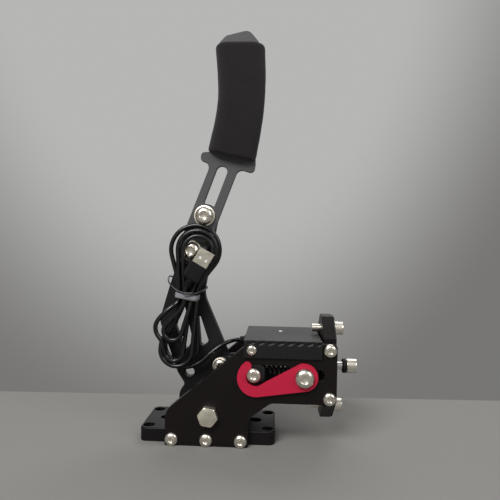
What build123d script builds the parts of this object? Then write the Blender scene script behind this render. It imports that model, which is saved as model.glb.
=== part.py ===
"""Sim racing handbrake: a lever on a base, a sprung pull rod in a two-plate housing, and its tied-up lead."""
from build123d import *
import math
import os

os.makedirs("parts", exist_ok=True)

# The origin is the centre of the base's underside. X runs towards the end plate, Y away from
# the viewer and Z up, all in millimetres. Near means the -Y side and far the +Y side.

# Clearances
thread_gap = 0.05
bolt_gap = 0.25
running_gap = 0.05
moving_gap = 0.3
seat_gap = 0.3
slot_gap = 0.2

# Base block
base_length = 100.0
base_width = 50.0
base_height = 10.0
base_corner = 5.0
base_edge = 0.6
corner_hole_radius = 4.25
corner_hole_inset_x = 5.5
corner_hole_inset_y = 7.0
middle_hole_radius = 4.5
middle_hole_inset = 15.0

# Side plates
plate_thickness = 6.0
foot_length = 60.0
foot_edge_height = 24.9
plate_top = 76.2
arm_underside = 32.6
notch_start = (30.5, 21.0)
notch_end_x = 46.5
slope_top_x = 30.4
plate_outer_round = 12.0
plate_round = 3.0
foot_screw_pitch = 25.0
foot_screw_height = 4.7
foot_screw_length = 16.0

# Lever pivot
pivot_x = 1.5
pivot_z = 22.5
sleeve_radius = 6.0
bush_wall = 2.0
bush_flange_radius = 10.5
bush_flange = 1.5
spacer_radius = 9.0

# Pull rod, its fork and the end stop
rod_radius = 3.0
link_radius = 32.1
link_lean = 11.0
pull_angle = 13.0
fork_cheek = 4.0
fork_height = 12.0
fork_eye_end = 6.0
fork_block = 6.0
rod_head_gap = 7.6
rod_head_length = 7.5
rod_head_radius = 5.5
rod_head_grooves = 16
bump_ring_length = 3.3
bump_ring_radius = 5.5

# Slot in the side plates, the carriage that runs in it and its latch pins
slot_left = 24.5
slot_right = 62.0
slot_height = 12.5
slot_z = 53.6
carriage_left = 27.0
carriage_length = 15.0
carriage_height = 18.0
carriage_travel = 5.0
mode_pin_x = 34.0
pin_neck_radius = 2.0
pin_grip = 12.0
sight_hole_inset = 3.2
sight_hole_radius = 4.0

# Hook
hook_thickness = 3.0
hook_pivot_x = 70.0
hook_pivot_z = 52.5
hook_pivot_round = 9.8
hook_bush_radius = 5.0
hook_mouth_x = 35.2
hook_mouth_z = 51.9
hook_mouth_radius = 6.5
hook_nose_x = 35.5
hook_nose_z = 51.2
hook_nose_radius = 13.5
hook_tip_angle = 127.7
hook_tip_radius = 3.0

# Springs and thrust collar
spring_radius = 6.6
spring_wire = 2.0
main_spring_turns = 5
return_spring_turns = 3
collar_left = 62.0
collar_length = 6.0
collar_radius = 8.5
magnet_post_width = 8.0
magnet_radius = 3.0
magnet_height = 3.0
magnet_gap = 1.0

# End plate
end_plate_left = 83.9
end_plate_thickness = 8.0
backing_thickness = 1.6
end_plate_bottom = 16.5
end_plate_top = 93.3
end_plate_corner_y = 17.5
end_plate_corner_z = 13.8
backing_inset = 0.5
end_screw_rise = 4.6
end_screw_drop = 4.6
end_screw_inset = 4.3
end_screw_length = 16.0
end_bolt_middle = 53.6
end_bolt_pitch = 59.2
end_bolt_length = 18.0
rod_bush_radius = 5.0

# Cover
cover_left = 26.5
cover_end_gap = 1.5
cover_wall = 2.0
cover_drop = 10.8
cover_round = 0.8
cover_screw_x = 32.1
cover_screw_drop = 5.2
cover_screw_length = 10.0
nick_count = 8
nick_pitch = 6.97
nick_first = 5.5
nick_radius = 1.6
nick_depth = 0.65
nick_run = 2.9
nick_slant = 20.0
nick_drop = 2.1
light_x = 53.2
light_y = 9.2
light_radius = 1.6
light_stand = 0.3

# Brace and sensor board under the cover
brace_left = 28.7
brace_length = 7.5
brace_drop = 2.7
brace_height = 8.5
board_left = 38.0
board_length = 38.0
board_width = 32.0
board_thickness = 1.6
board_drop = 2.0
board_screw_inset = 3.5
sensor_size = 4.0
sensor_height = 1.4

# Cable and its fittings
cable_radius = 1.7
gland_drop = 3.9
gland_radius = 2.9
gland_flange_radius = 3.6
gland_reach = 4.8
gland_flange = 1.4
channel_gap = 0.4

# Lower arm
arm_thickness = 8.0
hub_round = 11.0
link_round = 9.5
heel = (-17.9, 29.0)
heel_round = 6.0
heel_hole = (-17.1, 46.8)
heel_hole_radius = 3.85
lower_arm_edge = [
    (-16.6, 168.0), (-33.9, 113.5), (-41.4, 86.5), (-26.4, 46.5), (-20.8, 38.0), (-23.6, 29.0),
    (-12.0, 20.0), (8.0, 14.0), (12.6, 30.0), (15.6, 56.0), (-7.0, 107.6), (2.9, 168.0),
]
lower_arm_rounds = [1.0, 14.0, 12.0, 10.0, 3.0, 4.0, 4.0, 4.0, 20.0, 6.0, 20.0, 1.0]
rear_window = [(-11.8, 97.5), (-2.4, 70.8), (-8.6, 65.4)]
front_window = [(-23.2, 103.5), (-15.2, 72.0), (-20.3, 62.0), (-28.6, 82.0)]
rear_window_rounds = [1.0, 2.4, 2.2]
front_window_rounds = [1.2, 3.0, 2.2, 4.0]

# Upper arm
upper_thickness = 5.0
arm_foot = (-16.6, 141.0)
arm_lean = 20.0
arm_half_width = 10.7
arm_bolt_pitch = 28.7
arm_slot_start = 39.8
arm_slot_end = 64.9
arm_slot_width = 8.6
guard_left_edge = [(-2.9, 208.2), (-10.9, 210.4), (-10.4, 216.6), (-1.0, 217.6), (3.2, 238.0), (5.6, 268.0)]
guard_left_rounds = [5.0, 2.6, 2.8, 3.0, 30.0, 60.0]
tip_edge = [(1.8, 300.6), (7.0, 306.0), (24.4, 310.3), (32.2, 301.4)]
tip_rounds = [3.0, 5.0, 6.0, 3.0]
guard_right_edge = [(33.4, 270.0), (30.8, 232.0), (31.4, 208.0), (30.3, 200.8), (18.2, 204.4)]
guard_right_rounds = [60.0, 30.0, 2.5, 3.4, 5.0]

# Foam grip: height, left and right of each section
grip_sections = [
    (208.0, -6.8, 30.8),
    (222.0, -4.2, 32.8),
    (238.0, -0.7, 35.3),
    (254.0, 1.6, 36.9),
    (270.0, 1.7, 37.5),
    (284.0, 0.6, 37.2),
    (298.7, -0.9, 36.8),
]
grip_half_depth = 10.5
grip_side_round = 9.4
grip_top_round = 2.8
grip_foot = [(-8.0, 218.9), (12.3, 213.3), (34.0, 209.4)]

# Tied-up lead, in planes beside the lever: its waist, and X, Z and radius of its loops' round ends
waist_x = -19.6
waist_z = 105.8
waist_half_height = 5.5
rear_layer = -11.2
front_layer = -15.4
last_layer = -19.8
plug_layer = -21.6
strand_pitch = 4.5
rear_upper = (-13.4, 141.4, 17.6)
front_upper = (-12.8, 140.8, 16.8)
rear_lower = (-22.0, 66.8, 13.2)
front_lower = (-26.6, 65.2, 12.8)
last_lower = (-26.0, 82.0, 9.6)
ring_corners = 5
cord_sides = 8

# Free stretch of the lead between the gland and the loops
lead_route = [(14.6, -4.4, 72.0), (8.4, -8.4, 69.6), (0.6, -10.4, 64.0), (-6.6, -11.2, 56.8), (-11.4, -11.2, 54.2)]

lead_end_run = 3.8

# Ties
band_height = 5.2
band_thickness = 0.9
band_tilt = 6.0
band_gap = 0.45
strap_radius = 0.65
strap_clear = 0.6
strap_bend = 2.5
strap_side_y = -9.0
strap_front = [(-15.0, 0.2), (-27.6, 1.6), (-9.4, 0.8), (-22.6, 1.0)]
strap_round = [
    (-35.4, False, 4.6), (-37.2, True, 7.4), (-26.0, True, 7.0), (-14.0, True, 4.6),
    (-4.6, True, 2.6), (-4.2, False, 1.8),
]

# Plug on the end of the lead
plug_foot = (-17.4, 114.8)
plug_lean = 30.0
plug_run = 5.0
boot_length = 5.0
overmould_length = 13.5
overmould_width = 15.4
overmould_depth = 7.8
shell_width = 12.0
shell_depth = 4.5
shell_length = 11.8
shell_wall = 0.4
shell_window = 2.4
shell_window_pitch = 5.0
tongue_width = 10.4
tongue_depth = 1.8

# Screws: shank radius, head radius, head height and width across the hexagon
m4_button = dict(shank=2.0, head=3.8, height=2.2, hexagon=2.5)
m5_button = dict(shank=2.5, head=4.75, height=2.75, hexagon=3.0)
m6_button = dict(shank=3.0, head=5.25, height=3.3, hexagon=4.0)
m8_button = dict(shank=4.0, head=7.0, height=4.4, hexagon=5.0)
m6_socket = dict(shank=3.0, head=5.0, height=6.0, hexagon=5.0)
m8_hexagon = dict(shank=4.0, across=13.0, height=5.3)
m25_pan = dict(shank=1.25, head=2.3, height=1.4, hexagon=1.5)
m6_nut = dict(across=10.0, height=6.0)
m8_nut = dict(across=13.0, height=8.0)
m6_washer = dict(radius=6.0, thickness=1.6)
m6_small_washer = dict(radius=5.5, thickness=1.6)
m8_washer = dict(radius=8.0, thickness=1.6)

# Places that follow from the sizes above
plate_inner = base_width / 2
plate_outer = plate_inner + plate_thickness
cover_top = plate_top + cover_wall
cover_outer = plate_outer + cover_wall
cover_skirt = plate_top - cover_drop
cover_screw_z = plate_top - cover_screw_drop
brace_top = plate_top - brace_drop
brace_bottom = brace_top - brace_height
board_top = plate_top - board_drop
gland_z = plate_top - gland_drop
corner_hole_pitch_x = base_length - 2 * corner_hole_inset_x
corner_hole_pitch_y = base_width - 2 * corner_hole_inset_y
middle_hole_pitch = base_length - 2 * middle_hole_inset
backing_left = end_plate_left + end_plate_thickness
stop_face = backing_left + backing_thickness
plate_right = stop_face
rod_head_face = stop_face + rod_head_gap + bump_ring_length
sight_hole_x = end_plate_left - sight_hole_inset
cover_right = end_plate_left - cover_end_gap
arm_half = arm_thickness / 2
upper_front = -arm_half - upper_thickness
grip_y = -arm_half - upper_thickness / 2
link_x = pivot_x + link_radius * math.sin(math.radians(link_lean))
link_z = pivot_z + link_radius * math.cos(math.radians(link_lean))
link_rise = pivot_z + link_radius - link_z
rod_z = link_z + link_rise / 2
pull_travel = link_x - pivot_x + link_radius * math.sin(math.radians(pull_angle - link_lean))
hook_back = -plate_outer - moving_gap
hook_front = hook_back - hook_thickness
hook_head_face = hook_front - moving_gap
arm_axis = (math.sin(math.radians(arm_lean)), math.cos(math.radians(arm_lean)))
upper_bolt = (arm_foot[0] + arm_bolt_pitch * arm_axis[0], arm_foot[1] + arm_bolt_pitch * arm_axis[1])
fork_gap = moving_gap
fork_half = arm_half + fork_gap + fork_cheek
fork_slot_end = link_x + link_round + 1.2
magnet_top = board_top - board_thickness - sensor_height - magnet_gap
sensor_x = collar_left + collar_length / 2


def slab(face, low, high):
    """Extrudes a face drawn in X and Z between two Y positions."""
    return extrude(Plane.XZ.offset(-high) * face, high - low)


def bar(face, low, high):
    """Extrudes a face drawn in Y and Z between two X positions."""
    return extrude(Plane.YZ.offset(low) * face, high - low)


def pillar(face, low, high):
    """Extrudes a face drawn in X and Y between two Z positions."""
    return extrude(Plane.XY.offset(low) * face, high - low)


def pin_y(x, z, radius, low, high):
    """A round pin along Y."""
    return slab(Pos(x, z) * Circle(radius), low, high)


def rounded_face(points, rounds):
    """A closed face through points whose corners have the radii given."""
    return make_face(FilletPolyline(*points, radius=rounds, close=True))


def facing(x, y, z, direction):
    """A place for a screw whose head points in a direction."""
    return Plane(origin=(x, y, z), x_dir=(0, 0, 1), z_dir=direction)


near = (0, -1, 0)
far = (0, 1, 0)
right = (1, 0, 0)
down = (0, 0, -1)


def button_screw(screw, length):
    """A domed screw, head up from Z 0 and shank down."""
    edge = Polyline((0, 0), (screw["head"], 0), (screw["head"], screw["height"] * 0.22))
    crown = (screw["head"] * 0.42, screw["height"])
    middle = (screw["head"] * 0.84, screw["height"] * 0.72)
    dome = ThreePointArc((screw["head"], screw["height"] * 0.22), middle, crown)
    top = Polyline(crown, (0, screw["height"]), (0, 0))
    head = revolve(Plane.XZ * make_face([edge, dome, top]), Axis.Z)
    socket = RegularPolygon(screw["hexagon"] / math.sqrt(3), 6)
    head -= pillar(socket, screw["height"] * 0.35, screw["height"] + 1)
    return head + pillar(Circle(screw["shank"]), -length, 0)


def socket_screw(screw, length):
    """A cap screw with a tall round head, head up from Z 0 and shank down."""
    head = pillar(Circle(screw["head"]), 0, screw["height"])
    head = chamfer(head.edges().filter_by(GeomType.CIRCLE).group_by(Axis.Z)[-1], 0.5)
    socket = RegularPolygon(screw["hexagon"] / math.sqrt(3), 6)
    head -= pillar(socket, screw["height"] * 0.5, screw["height"] + 1)
    return head + pillar(Circle(screw["shank"]), -length, 0)


def hexagon_block(across, height):
    """A hexagonal head or nut whose upper corners are turned off."""
    block = pillar(RegularPolygon(across / math.sqrt(3), 6), 0, height)
    turning = Cone(across / math.sqrt(3) + 0.4, across / 2 - 0.3, height, align=(Align.CENTER, Align.CENTER, Align.MIN))
    upper = pillar(Circle(across), 0, height * 0.5) + Pos(0, 0, height * 0.5) * scale(turning, by=(1, 1, 0.5))
    return block & upper


def hexagon_screw(screw, length):
    """A hexagon head screw, head up from Z 0 and shank down."""
    return hexagon_block(screw["across"], screw["height"]) + pillar(Circle(screw["shank"]), -length, 0)


def lock_nut(nut, bore):
    """A nut with a nylon collar, seated at Z 0."""
    collar = pillar(Circle(nut["across"] / 2 - 0.6), nut["height"] * 0.75, nut["height"])
    return hexagon_block(nut["across"], nut["height"] * 0.75) + collar - pillar(Circle(bore), -1, nut["height"] + 1)


def washer(size, bore):
    """A flat washer on Z 0."""
    return pillar(Circle(size["radius"]) - Circle(bore), 0, size["thickness"])


def corner_radii(points):
    """The radius at each corner of a cord's route: as large as its two runs allow."""
    radii = []
    for before, corner, after in zip(points, points[1:], points[2:]):
        run_in = Vector(*corner) - Vector(*before)
        run_out = Vector(*after) - Vector(*corner)
        half_turn = math.radians(run_in.get_angle(run_out)) / 2
        radii.append(0.45 * min(run_in.length, run_out.length) / math.tan(half_turn))
    return radii


def tube(path, radius, sides):
    """Sweeps a many-sided section of one cord, wire or strap along a path."""
    start = Plane(origin=path @ 0, z_dir=path % 0)
    return sweep(start * RegularPolygon(radius, sides), path=path)


def base_block():
    plan = RectangleRounded(base_length, base_width, base_corner)
    plan -= GridLocations(corner_hole_pitch_x, corner_hole_pitch_y, 2, 2) * Circle(corner_hole_radius)
    plan -= GridLocations(middle_hole_pitch, 0, 2, 1) * Circle(middle_hole_radius)
    block = pillar(plan, 0, base_height)
    rim = block.faces().sort_by(Axis.Z)[-1].outer_wire().edges()
    block = chamfer(rim, base_edge)
    depth = foot_screw_length - plate_thickness + 1.0
    for x in foot_screw_places():
        block -= pin_y(x, foot_screw_height, m5_button["shank"] + thread_gap, -plate_inner - 1, -plate_inner + depth)
        block -= pin_y(x, foot_screw_height, m5_button["shank"] + thread_gap, plate_inner - depth, plate_inner + 1)
    return block


def foot_screw_places():
    return [-foot_screw_pitch, 0.0, foot_screw_pitch]


def end_screw_heights():
    return [arm_underside + end_screw_rise, plate_top - end_screw_drop]


def end_screw_x():
    return end_plate_left + end_screw_inset


def side_plate_outline():
    left = -foot_length / 2
    points = [
        (left, 0), (left, foot_edge_height), (slope_top_x, plate_top), (plate_right, plate_top),
        (plate_right, arm_underside), (notch_end_x, arm_underside), notch_start, (notch_start[0], 0),
    ]
    rounds = [0.8, plate_outer_round, 2.0, plate_round, plate_round, 6.0, 6.0, 0.8]
    return rounded_face(points, rounds)


def slot_face(left, right_end, height):
    """A slot with round ends for the carriage's tongue."""
    middle = (left + right_end) / 2
    return Pos(middle, slot_z) * SlotOverall(right_end - left, height)


def side_plate(low, high):
    face = side_plate_outline()
    face -= slot_face(slot_left, slot_right, slot_height)
    face -= Pos(sight_hole_x, slot_z) * Circle(sight_hole_radius)
    face -= Pos(pivot_x, pivot_z) * Circle(m8_hexagon["shank"] + bolt_gap)
    face -= Pos(hook_pivot_x, hook_pivot_z) * Circle(m8_button["shank"] + thread_gap)
    face -= Pos(cover_screw_x, cover_screw_z) * Circle(m4_button["shank"] + thread_gap)
    for x in foot_screw_places():
        face -= Pos(x, foot_screw_height) * Circle(m5_button["shank"] + bolt_gap)
    for z in end_screw_heights():
        face -= Pos(end_screw_x(), z) * Circle(m5_button["shank"] + bolt_gap)
    return slab(face, low, high)


def both_sides(x, z, y, screw, length):
    """A screw on the near side and its twin on the far side."""
    shape = button_screw(screw, length)
    return [facing(x, -y, z, near) * shape, facing(x, y, z, far) * shape]


def foot_screws():
    screws = []
    for x in foot_screw_places():
        screws += both_sides(x, foot_screw_height, plate_outer, m5_button, foot_screw_length)
    return Compound(children=screws)


def end_screws():
    screws = []
    for z in end_screw_heights():
        screws += both_sides(end_screw_x(), z, plate_outer, m5_button, end_screw_length)
    return Compound(children=screws)


def pivot_bolt():
    length = 2 * plate_outer + m8_washer["thickness"] + m8_nut["height"] + 1.5
    return facing(pivot_x, -plate_outer, pivot_z, near) * hexagon_screw(m8_hexagon, length)


def pivot_washer():
    return facing(pivot_x, plate_outer, pivot_z, far) * washer(m8_washer, m8_hexagon["shank"] + bolt_gap)


def pivot_nut():
    seat = plate_outer + m8_washer["thickness"]
    return facing(pivot_x, seat, pivot_z, far) * lock_nut(m8_nut, m8_hexagon["shank"] + thread_gap)


def pivot_sleeve():
    ring = Pos(pivot_x, pivot_z) * (Circle(sleeve_radius) - Circle(m8_hexagon["shank"] + 0.1))
    return slab(ring, -plate_inner, plate_inner)


def pivot_spacers():
    ring = Pos(pivot_x, pivot_z) * (Circle(spacer_radius) - Circle(sleeve_radius + thread_gap))
    start = arm_half + bush_flange + moving_gap
    return Compound(children=[slab(ring, -plate_inner, -start), slab(ring, start, plate_inner)])


def pivot_bushes():
    bore = Circle(sleeve_radius + running_gap)
    body = Pos(pivot_x, pivot_z) * (Circle(sleeve_radius + bush_wall) - bore)
    flange = Pos(pivot_x, pivot_z) * (Circle(bush_flange_radius) - bore)
    near_bush = slab(body, -arm_half, -0.2) + slab(flange, -arm_half - bush_flange, -arm_half)
    far_bush = slab(body, 0.2, arm_half) + slab(flange, arm_half, arm_half + bush_flange)
    return Compound(children=[near_bush, far_bush])


def lower_arm_face():
    face = rounded_face(lower_arm_edge, lower_arm_rounds)
    face += Pos(*upper_bolt) * Circle(link_round)
    face += Pos(pivot_x, pivot_z) * Circle(hub_round)
    face += Pos(link_x, link_z) * Circle(link_round)
    face += Pos(*heel) * Circle(heel_round)
    face -= rounded_face(rear_window, rear_window_rounds)
    face -= rounded_face(front_window, front_window_rounds)
    face -= Pos(*heel_hole) * Circle(heel_hole_radius)
    face -= Pos(pivot_x, pivot_z) * Circle(sleeve_radius + bush_wall + thread_gap)
    face -= Pos(link_x, link_z) * Circle(rod_radius + thread_gap)
    for place in (arm_foot, upper_bolt):
        face -= Pos(*place) * Circle(m8_button["shank"] + thread_gap)
    return face


def lower_arm():
    return slab(lower_arm_face(), -arm_half, arm_half)


def upper_arm_outline():
    across = (arm_axis[1], -arm_axis[0])
    foot_left = (arm_foot[0] - arm_half_width * across[0], arm_foot[1] - arm_half_width * across[1])
    foot_right = (arm_foot[0] + arm_half_width * across[0], arm_foot[1] + arm_half_width * across[1])
    points = [foot_left] + guard_left_edge + tip_edge + guard_right_edge + [foot_right]
    rounds = [0.5] + guard_left_rounds + tip_rounds + guard_right_rounds + [0.5]
    return rounded_face(points, rounds) + Pos(*arm_foot) * Circle(arm_half_width)


def along_arm(distance):
    return (arm_foot[0] + distance * arm_axis[0], arm_foot[1] + distance * arm_axis[1])


def upper_arm():
    slot_middle = along_arm((arm_slot_start + arm_slot_end) / 2)
    slot_length = arm_slot_end - arm_slot_start + arm_slot_width
    face = upper_arm_outline()
    face -= Pos(*slot_middle) * Rot(0, 0, 90 - arm_lean) * SlotOverall(slot_length, arm_slot_width)
    for place in (arm_foot, upper_bolt):
        face -= Pos(*place) * Circle(m8_button["shank"] + thread_gap)
    return slab(face, upper_front, -arm_half)


def grip_sleeve():
    rings = []
    for height, left, right_edge in grip_sections:
        ring = RectangleRounded(right_edge - left, 2 * grip_half_depth, grip_side_round)
        rings.append(Pos((left + right_edge) / 2, grip_y, height) * ring)
    body = loft(rings)
    body = fillet(body.faces().sort_by(Axis.Z)[-1].edges(), grip_top_round)
    low = grip_sections[0][0] - 5
    trim = Polyline((-30, low), *grip_foot, (60, low), close=True)
    body -= slab(make_face(trim), grip_y - 30, grip_y + 30)
    body -= slab(upper_arm_outline(), upper_front, -arm_half)
    return body


def arm_bolts():
    length = upper_thickness + arm_thickness + 2 * m8_washer["thickness"] + m8_nut["height"] + 1.5
    seat = upper_front - m8_washer["thickness"]
    shape = button_screw(m8_button, length)
    return Compound(children=[facing(x, seat, z, near) * shape for x, z in (arm_foot, upper_bolt)])


def arm_washers():
    ring = washer(m8_washer, m8_button["shank"] + thread_gap)
    pieces = [facing(x, upper_front, z, near) * ring for x, z in (arm_foot, upper_bolt)]
    pieces += [facing(x, arm_half, z, far) * ring for x, z in (arm_foot, upper_bolt)]
    return Compound(children=pieces)


def arm_nuts():
    nut = lock_nut(m8_nut, m8_button["shank"] + thread_gap)
    seat = arm_half + m8_washer["thickness"]
    return Compound(children=[facing(x, seat, z, far) * nut for x, z in (arm_foot, upper_bolt)])


def link_seat():
    return fork_half + moving_gap


def link_bolt():
    length = 2 * (link_seat() + m6_washer["thickness"]) + m6_nut["height"] + 1.0
    seat = -link_seat() - m6_washer["thickness"]
    return facing(link_x, seat, link_z, near) * button_screw(m6_button, length)


def link_washers():
    ring = washer(m6_washer, rod_radius + thread_gap)
    near_ring = facing(link_x, -link_seat(), link_z, near) * ring
    far_ring = facing(link_x, link_seat(), link_z, far) * ring
    return Compound(children=[near_ring, far_ring])


def link_nut():
    seat = link_seat() + m6_washer["thickness"]
    return facing(link_x, seat, link_z, far) * lock_nut(m6_nut, rod_radius + thread_gap)


def pull_fork():
    end = fork_slot_end + fork_block
    side = Pos((link_x + end) / 2, rod_z) * Rectangle(end - link_x, fork_height)
    side += Pos(link_x, rod_z) * Circle(fork_eye_end)
    eye_length = 2 * (rod_radius + bolt_gap) + link_rise + slot_gap
    side -= Pos(link_x, rod_z) * Rot(0, 0, 90) * SlotOverall(eye_length, 2 * (rod_radius + bolt_gap))
    fork = slab(side, -fork_half, fork_half)
    gap = Pos((link_x - fork_eye_end + fork_slot_end) / 2 - 1, rod_z)
    gap *= Rectangle(fork_slot_end - link_x + fork_eye_end + 2, fork_height + 2)
    fork -= slab(gap, -arm_half - fork_gap, arm_half + fork_gap)
    return fork - bar(Pos(0, rod_z) * Circle(rod_radius + thread_gap), fork_slot_end - 1, end + 1)


def pull_rod():
    return bar(Pos(0, rod_z) * Circle(rod_radius), fork_slot_end + 0.5, rod_head_face + rod_head_length - 2.5)


def bump_ring():
    ring = Pos(0, rod_z) * (Circle(bump_ring_radius) - Circle(rod_radius + thread_gap))
    body = bar(ring, rod_head_face - bump_ring_length, rod_head_face)
    return fillet(body.edges().filter_by(GeomType.CIRCLE).group_by(SortBy.RADIUS)[-1], 0.8)


def rod_head():
    face = Circle(rod_head_radius)
    groove = PolarLocations(rod_head_radius + 0.15, rod_head_grooves) * Circle(0.45)
    knurl = bar(Pos(0, rod_z) * (face - groove), rod_head_face + 0.8, rod_head_face + rod_head_length - 0.8)
    core = bar(Pos(0, rod_z) * Circle(rod_head_radius - 0.5), rod_head_face, rod_head_face + rod_head_length)
    bore = bar(Pos(0, rod_z) * Circle(rod_radius + thread_gap), rod_head_face - 1, rod_head_face + rod_head_length - 2.4)
    socket = Pos(0, rod_z) * RegularPolygon(2.5 / math.cos(math.radians(30)), 6)
    recess = bar(socket, rod_head_face + rod_head_length - 2.5, rod_head_face + rod_head_length + 1)
    return knurl + core - bore - recess


def rod_bush():
    ring = Pos(0, rod_z) * (Circle(rod_bush_radius) - Circle(rod_radius + running_gap))
    return bar(ring, end_plate_left, stop_face)


def thrust_collar():
    disc = Pos(0, rod_z) * Circle(collar_radius)
    post_top = magnet_top - magnet_height
    post = Pos(0, (rod_z + post_top) / 2) * Rectangle(magnet_post_width, post_top - rod_z)
    body = bar(disc + post, collar_left, collar_left + collar_length)
    shelf_x = collar_left + collar_length / 2
    shelf = Pos(shelf_x, 0) * RectangleRounded(magnet_post_width, magnet_post_width, 1.0)
    body += pillar(shelf, post_top - 2.0, post_top)
    return body - bar(Pos(0, rod_z) * Circle(rod_radius + thread_gap), collar_left - 1, collar_left + collar_length + 1)


def sensor_magnet():
    place = Pos(collar_left + collar_length / 2, 0)
    return pillar(place * Circle(magnet_radius), magnet_top - magnet_height, magnet_top)


def spring(left, length, turns):
    """A compression spring round the rod, one wire wound by quarter turns."""
    corners = 4 * turns
    reach = spring_radius * math.sqrt(2)
    lead_in = spring_wire / 2
    step = (length - 2 * lead_in) / (corners - 1)
    points = []
    for count in range(corners):
        angle = math.radians(45 + 90 * count)
        points.append((left + lead_in + step * count, reach * math.cos(angle), rod_z + reach * math.sin(angle)))
    start = (points[0][0], points[0][1], rod_z)
    end = (points[-1][0], points[-1][1], rod_z)
    route = [start] + points + [end]
    path = FilletPolyline(*route, radius=[spring_radius * 0.985] * corners)
    return tube(path, spring_wire / 2, 6)


def main_spring():
    left = carriage_left + carriage_length + seat_gap
    return spring(left, collar_left - seat_gap - left, main_spring_turns)


def return_spring():
    left = collar_left + collar_length + seat_gap
    return spring(left, end_plate_left - left, return_spring_turns)


def carriage():
    right_end = carriage_left + carriage_length
    middle = Pos((carriage_left + right_end) / 2, slot_z)
    body = slab(middle * RectangleRounded(carriage_length, carriage_height, 1.5), -plate_inner + 0.3, plate_inner - 0.3)
    tongue = middle * RectangleRounded(carriage_length - 0.8, slot_height - 2 * slot_gap, 3.0)
    body += slab(tongue, -plate_outer + moving_gap, plate_outer - moving_gap)
    body -= bar(Pos(0, rod_z) * Circle(rod_radius + 0.5), carriage_left - 1, right_end + 1)
    for side in (-1, 1):
        face = side * (plate_outer - moving_gap)
        low, high = sorted((face - side * pin_grip, face + side))
        body -= pin_y(mode_pin_x, slot_z, m6_button["shank"] + thread_gap, low, high)
    return body


def mode_pins():
    """The latch pin under the hook and the plain guide pin on the far side."""
    face = plate_outer - moving_gap
    neck = hook_front - moving_gap
    head = facing(mode_pin_x, neck, slot_z, near) * button_screw(m6_button, 0.5)
    head -= pin_y(mode_pin_x, slot_z, m6_button["shank"] + 1, neck, neck + 1)
    shank = pin_y(mode_pin_x, slot_z, pin_neck_radius, neck, -face)
    shank += pin_y(mode_pin_x, slot_z, m6_button["shank"], -face, -face + pin_grip - 1)
    guide = facing(mode_pin_x, face, slot_z, far) * button_screw(m6_button, pin_grip - 1)
    return Compound(children=[head + shank, guide])


def hook_tip_place(toward):
    """The middle of the hook's round tip, flush with the nose, on the line that cuts the nose off."""
    offset = (hook_mouth_x - hook_nose_x, hook_mouth_z - hook_nose_z)
    along = offset[0] * toward[0] + offset[1] * toward[1]
    reach = hook_nose_radius - hook_tip_radius
    distance = math.sqrt(reach ** 2 - offset[0] ** 2 - offset[1] ** 2 + along ** 2) - along
    return (hook_mouth_x + distance * toward[0], hook_mouth_z + distance * toward[1])


def hook_face():
    """The hook: a nose round the pin, an arm drawn out to the pivot and a mouth open up and right."""
    span = hook_pivot_x - hook_mouth_x
    drop = hook_mouth_z - hook_pivot_z
    distance = math.hypot(span, drop)
    rise = math.asin((hook_mouth_radius + hook_pivot_round) / distance) - math.atan2(drop, span)
    out = (math.cos(rise), math.sin(rise))
    touch = (hook_mouth_x + hook_mouth_radius * out[1], hook_mouth_z - hook_mouth_radius * out[0])
    reach = 80.0
    tip = (math.cos(math.radians(hook_tip_angle)), math.sin(math.radians(hook_tip_angle)))
    nose = Pos(hook_nose_x, hook_nose_z) * Circle(hook_nose_radius)
    boss = Pos(hook_pivot_x, hook_pivot_z) * Circle(hook_pivot_round)
    body = make_hull((nose + boss).edges())
    mouth = [
        touch, (touch[0] + reach * out[0], touch[1] + reach * out[1]), (hook_mouth_x + reach, hook_mouth_z + reach),
        (hook_mouth_x + reach * tip[0], hook_mouth_z + reach * tip[1]), (hook_mouth_x, hook_mouth_z),
    ]
    body -= make_face(Polyline(*mouth, close=True))
    body -= Pos(hook_mouth_x, hook_mouth_z) * Circle(hook_mouth_radius)
    body += Pos(*hook_tip_place(tip)) * Circle(hook_tip_radius)
    body += boss
    return body - Pos(hook_pivot_x, hook_pivot_z) * Circle(hook_bush_radius + running_gap)


def hook():
    return slab(hook_face(), hook_front, hook_back)


def hook_bush():
    ring = Pos(hook_pivot_x, hook_pivot_z) * (Circle(hook_bush_radius) - Circle(m8_button["shank"] + thread_gap))
    return slab(ring, hook_head_face, -plate_outer)


def hook_bolt():
    length = -hook_head_face - plate_inner + m8_nut["height"] + 1.0
    return facing(hook_pivot_x, hook_head_face, hook_pivot_z, near) * button_screw(m8_button, length)


def hook_nut():
    return facing(hook_pivot_x, -plate_inner, hook_pivot_z, far) * lock_nut(m8_nut, m8_button["shank"] + thread_gap)


def end_plate_face(inset):
    width = 2 * plate_inner - 2 * inset
    height = end_plate_top - end_plate_bottom - 2 * inset
    middle = (end_plate_top + end_plate_bottom) / 2
    corners = []
    for side, rise in ((1, 1), (-1, 1), (-1, -1), (1, -1)):
        flat = (side * (width / 2 - end_plate_corner_y), middle + rise * height / 2)
        edge = (side * width / 2, middle + rise * (height / 2 - end_plate_corner_z))
        corners += [edge, flat] if side * rise > 0 else [flat, edge]
    outline = make_face(Polyline(*corners, close=True))
    outline -= Pos(0, rod_z) * Circle(rod_bush_radius + thread_gap)
    for z in end_bolt_heights():
        outline -= Pos(0, z) * Circle(m6_socket["shank"] + thread_gap)
    return outline


def end_bolt_heights():
    return [end_bolt_middle - end_bolt_pitch / 2, end_bolt_middle + end_bolt_pitch / 2]


def end_plate():
    body = bar(end_plate_face(0), end_plate_left, backing_left)
    depth = end_screw_length - plate_thickness + 1.0
    for z in end_screw_heights():
        radius = m5_button["shank"] + thread_gap
        body -= pin_y(end_screw_x(), z, radius, -plate_inner - 1, -plate_inner + depth)
        body -= pin_y(end_screw_x(), z, radius, plate_inner - depth, plate_inner + 1)
    return body


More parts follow.
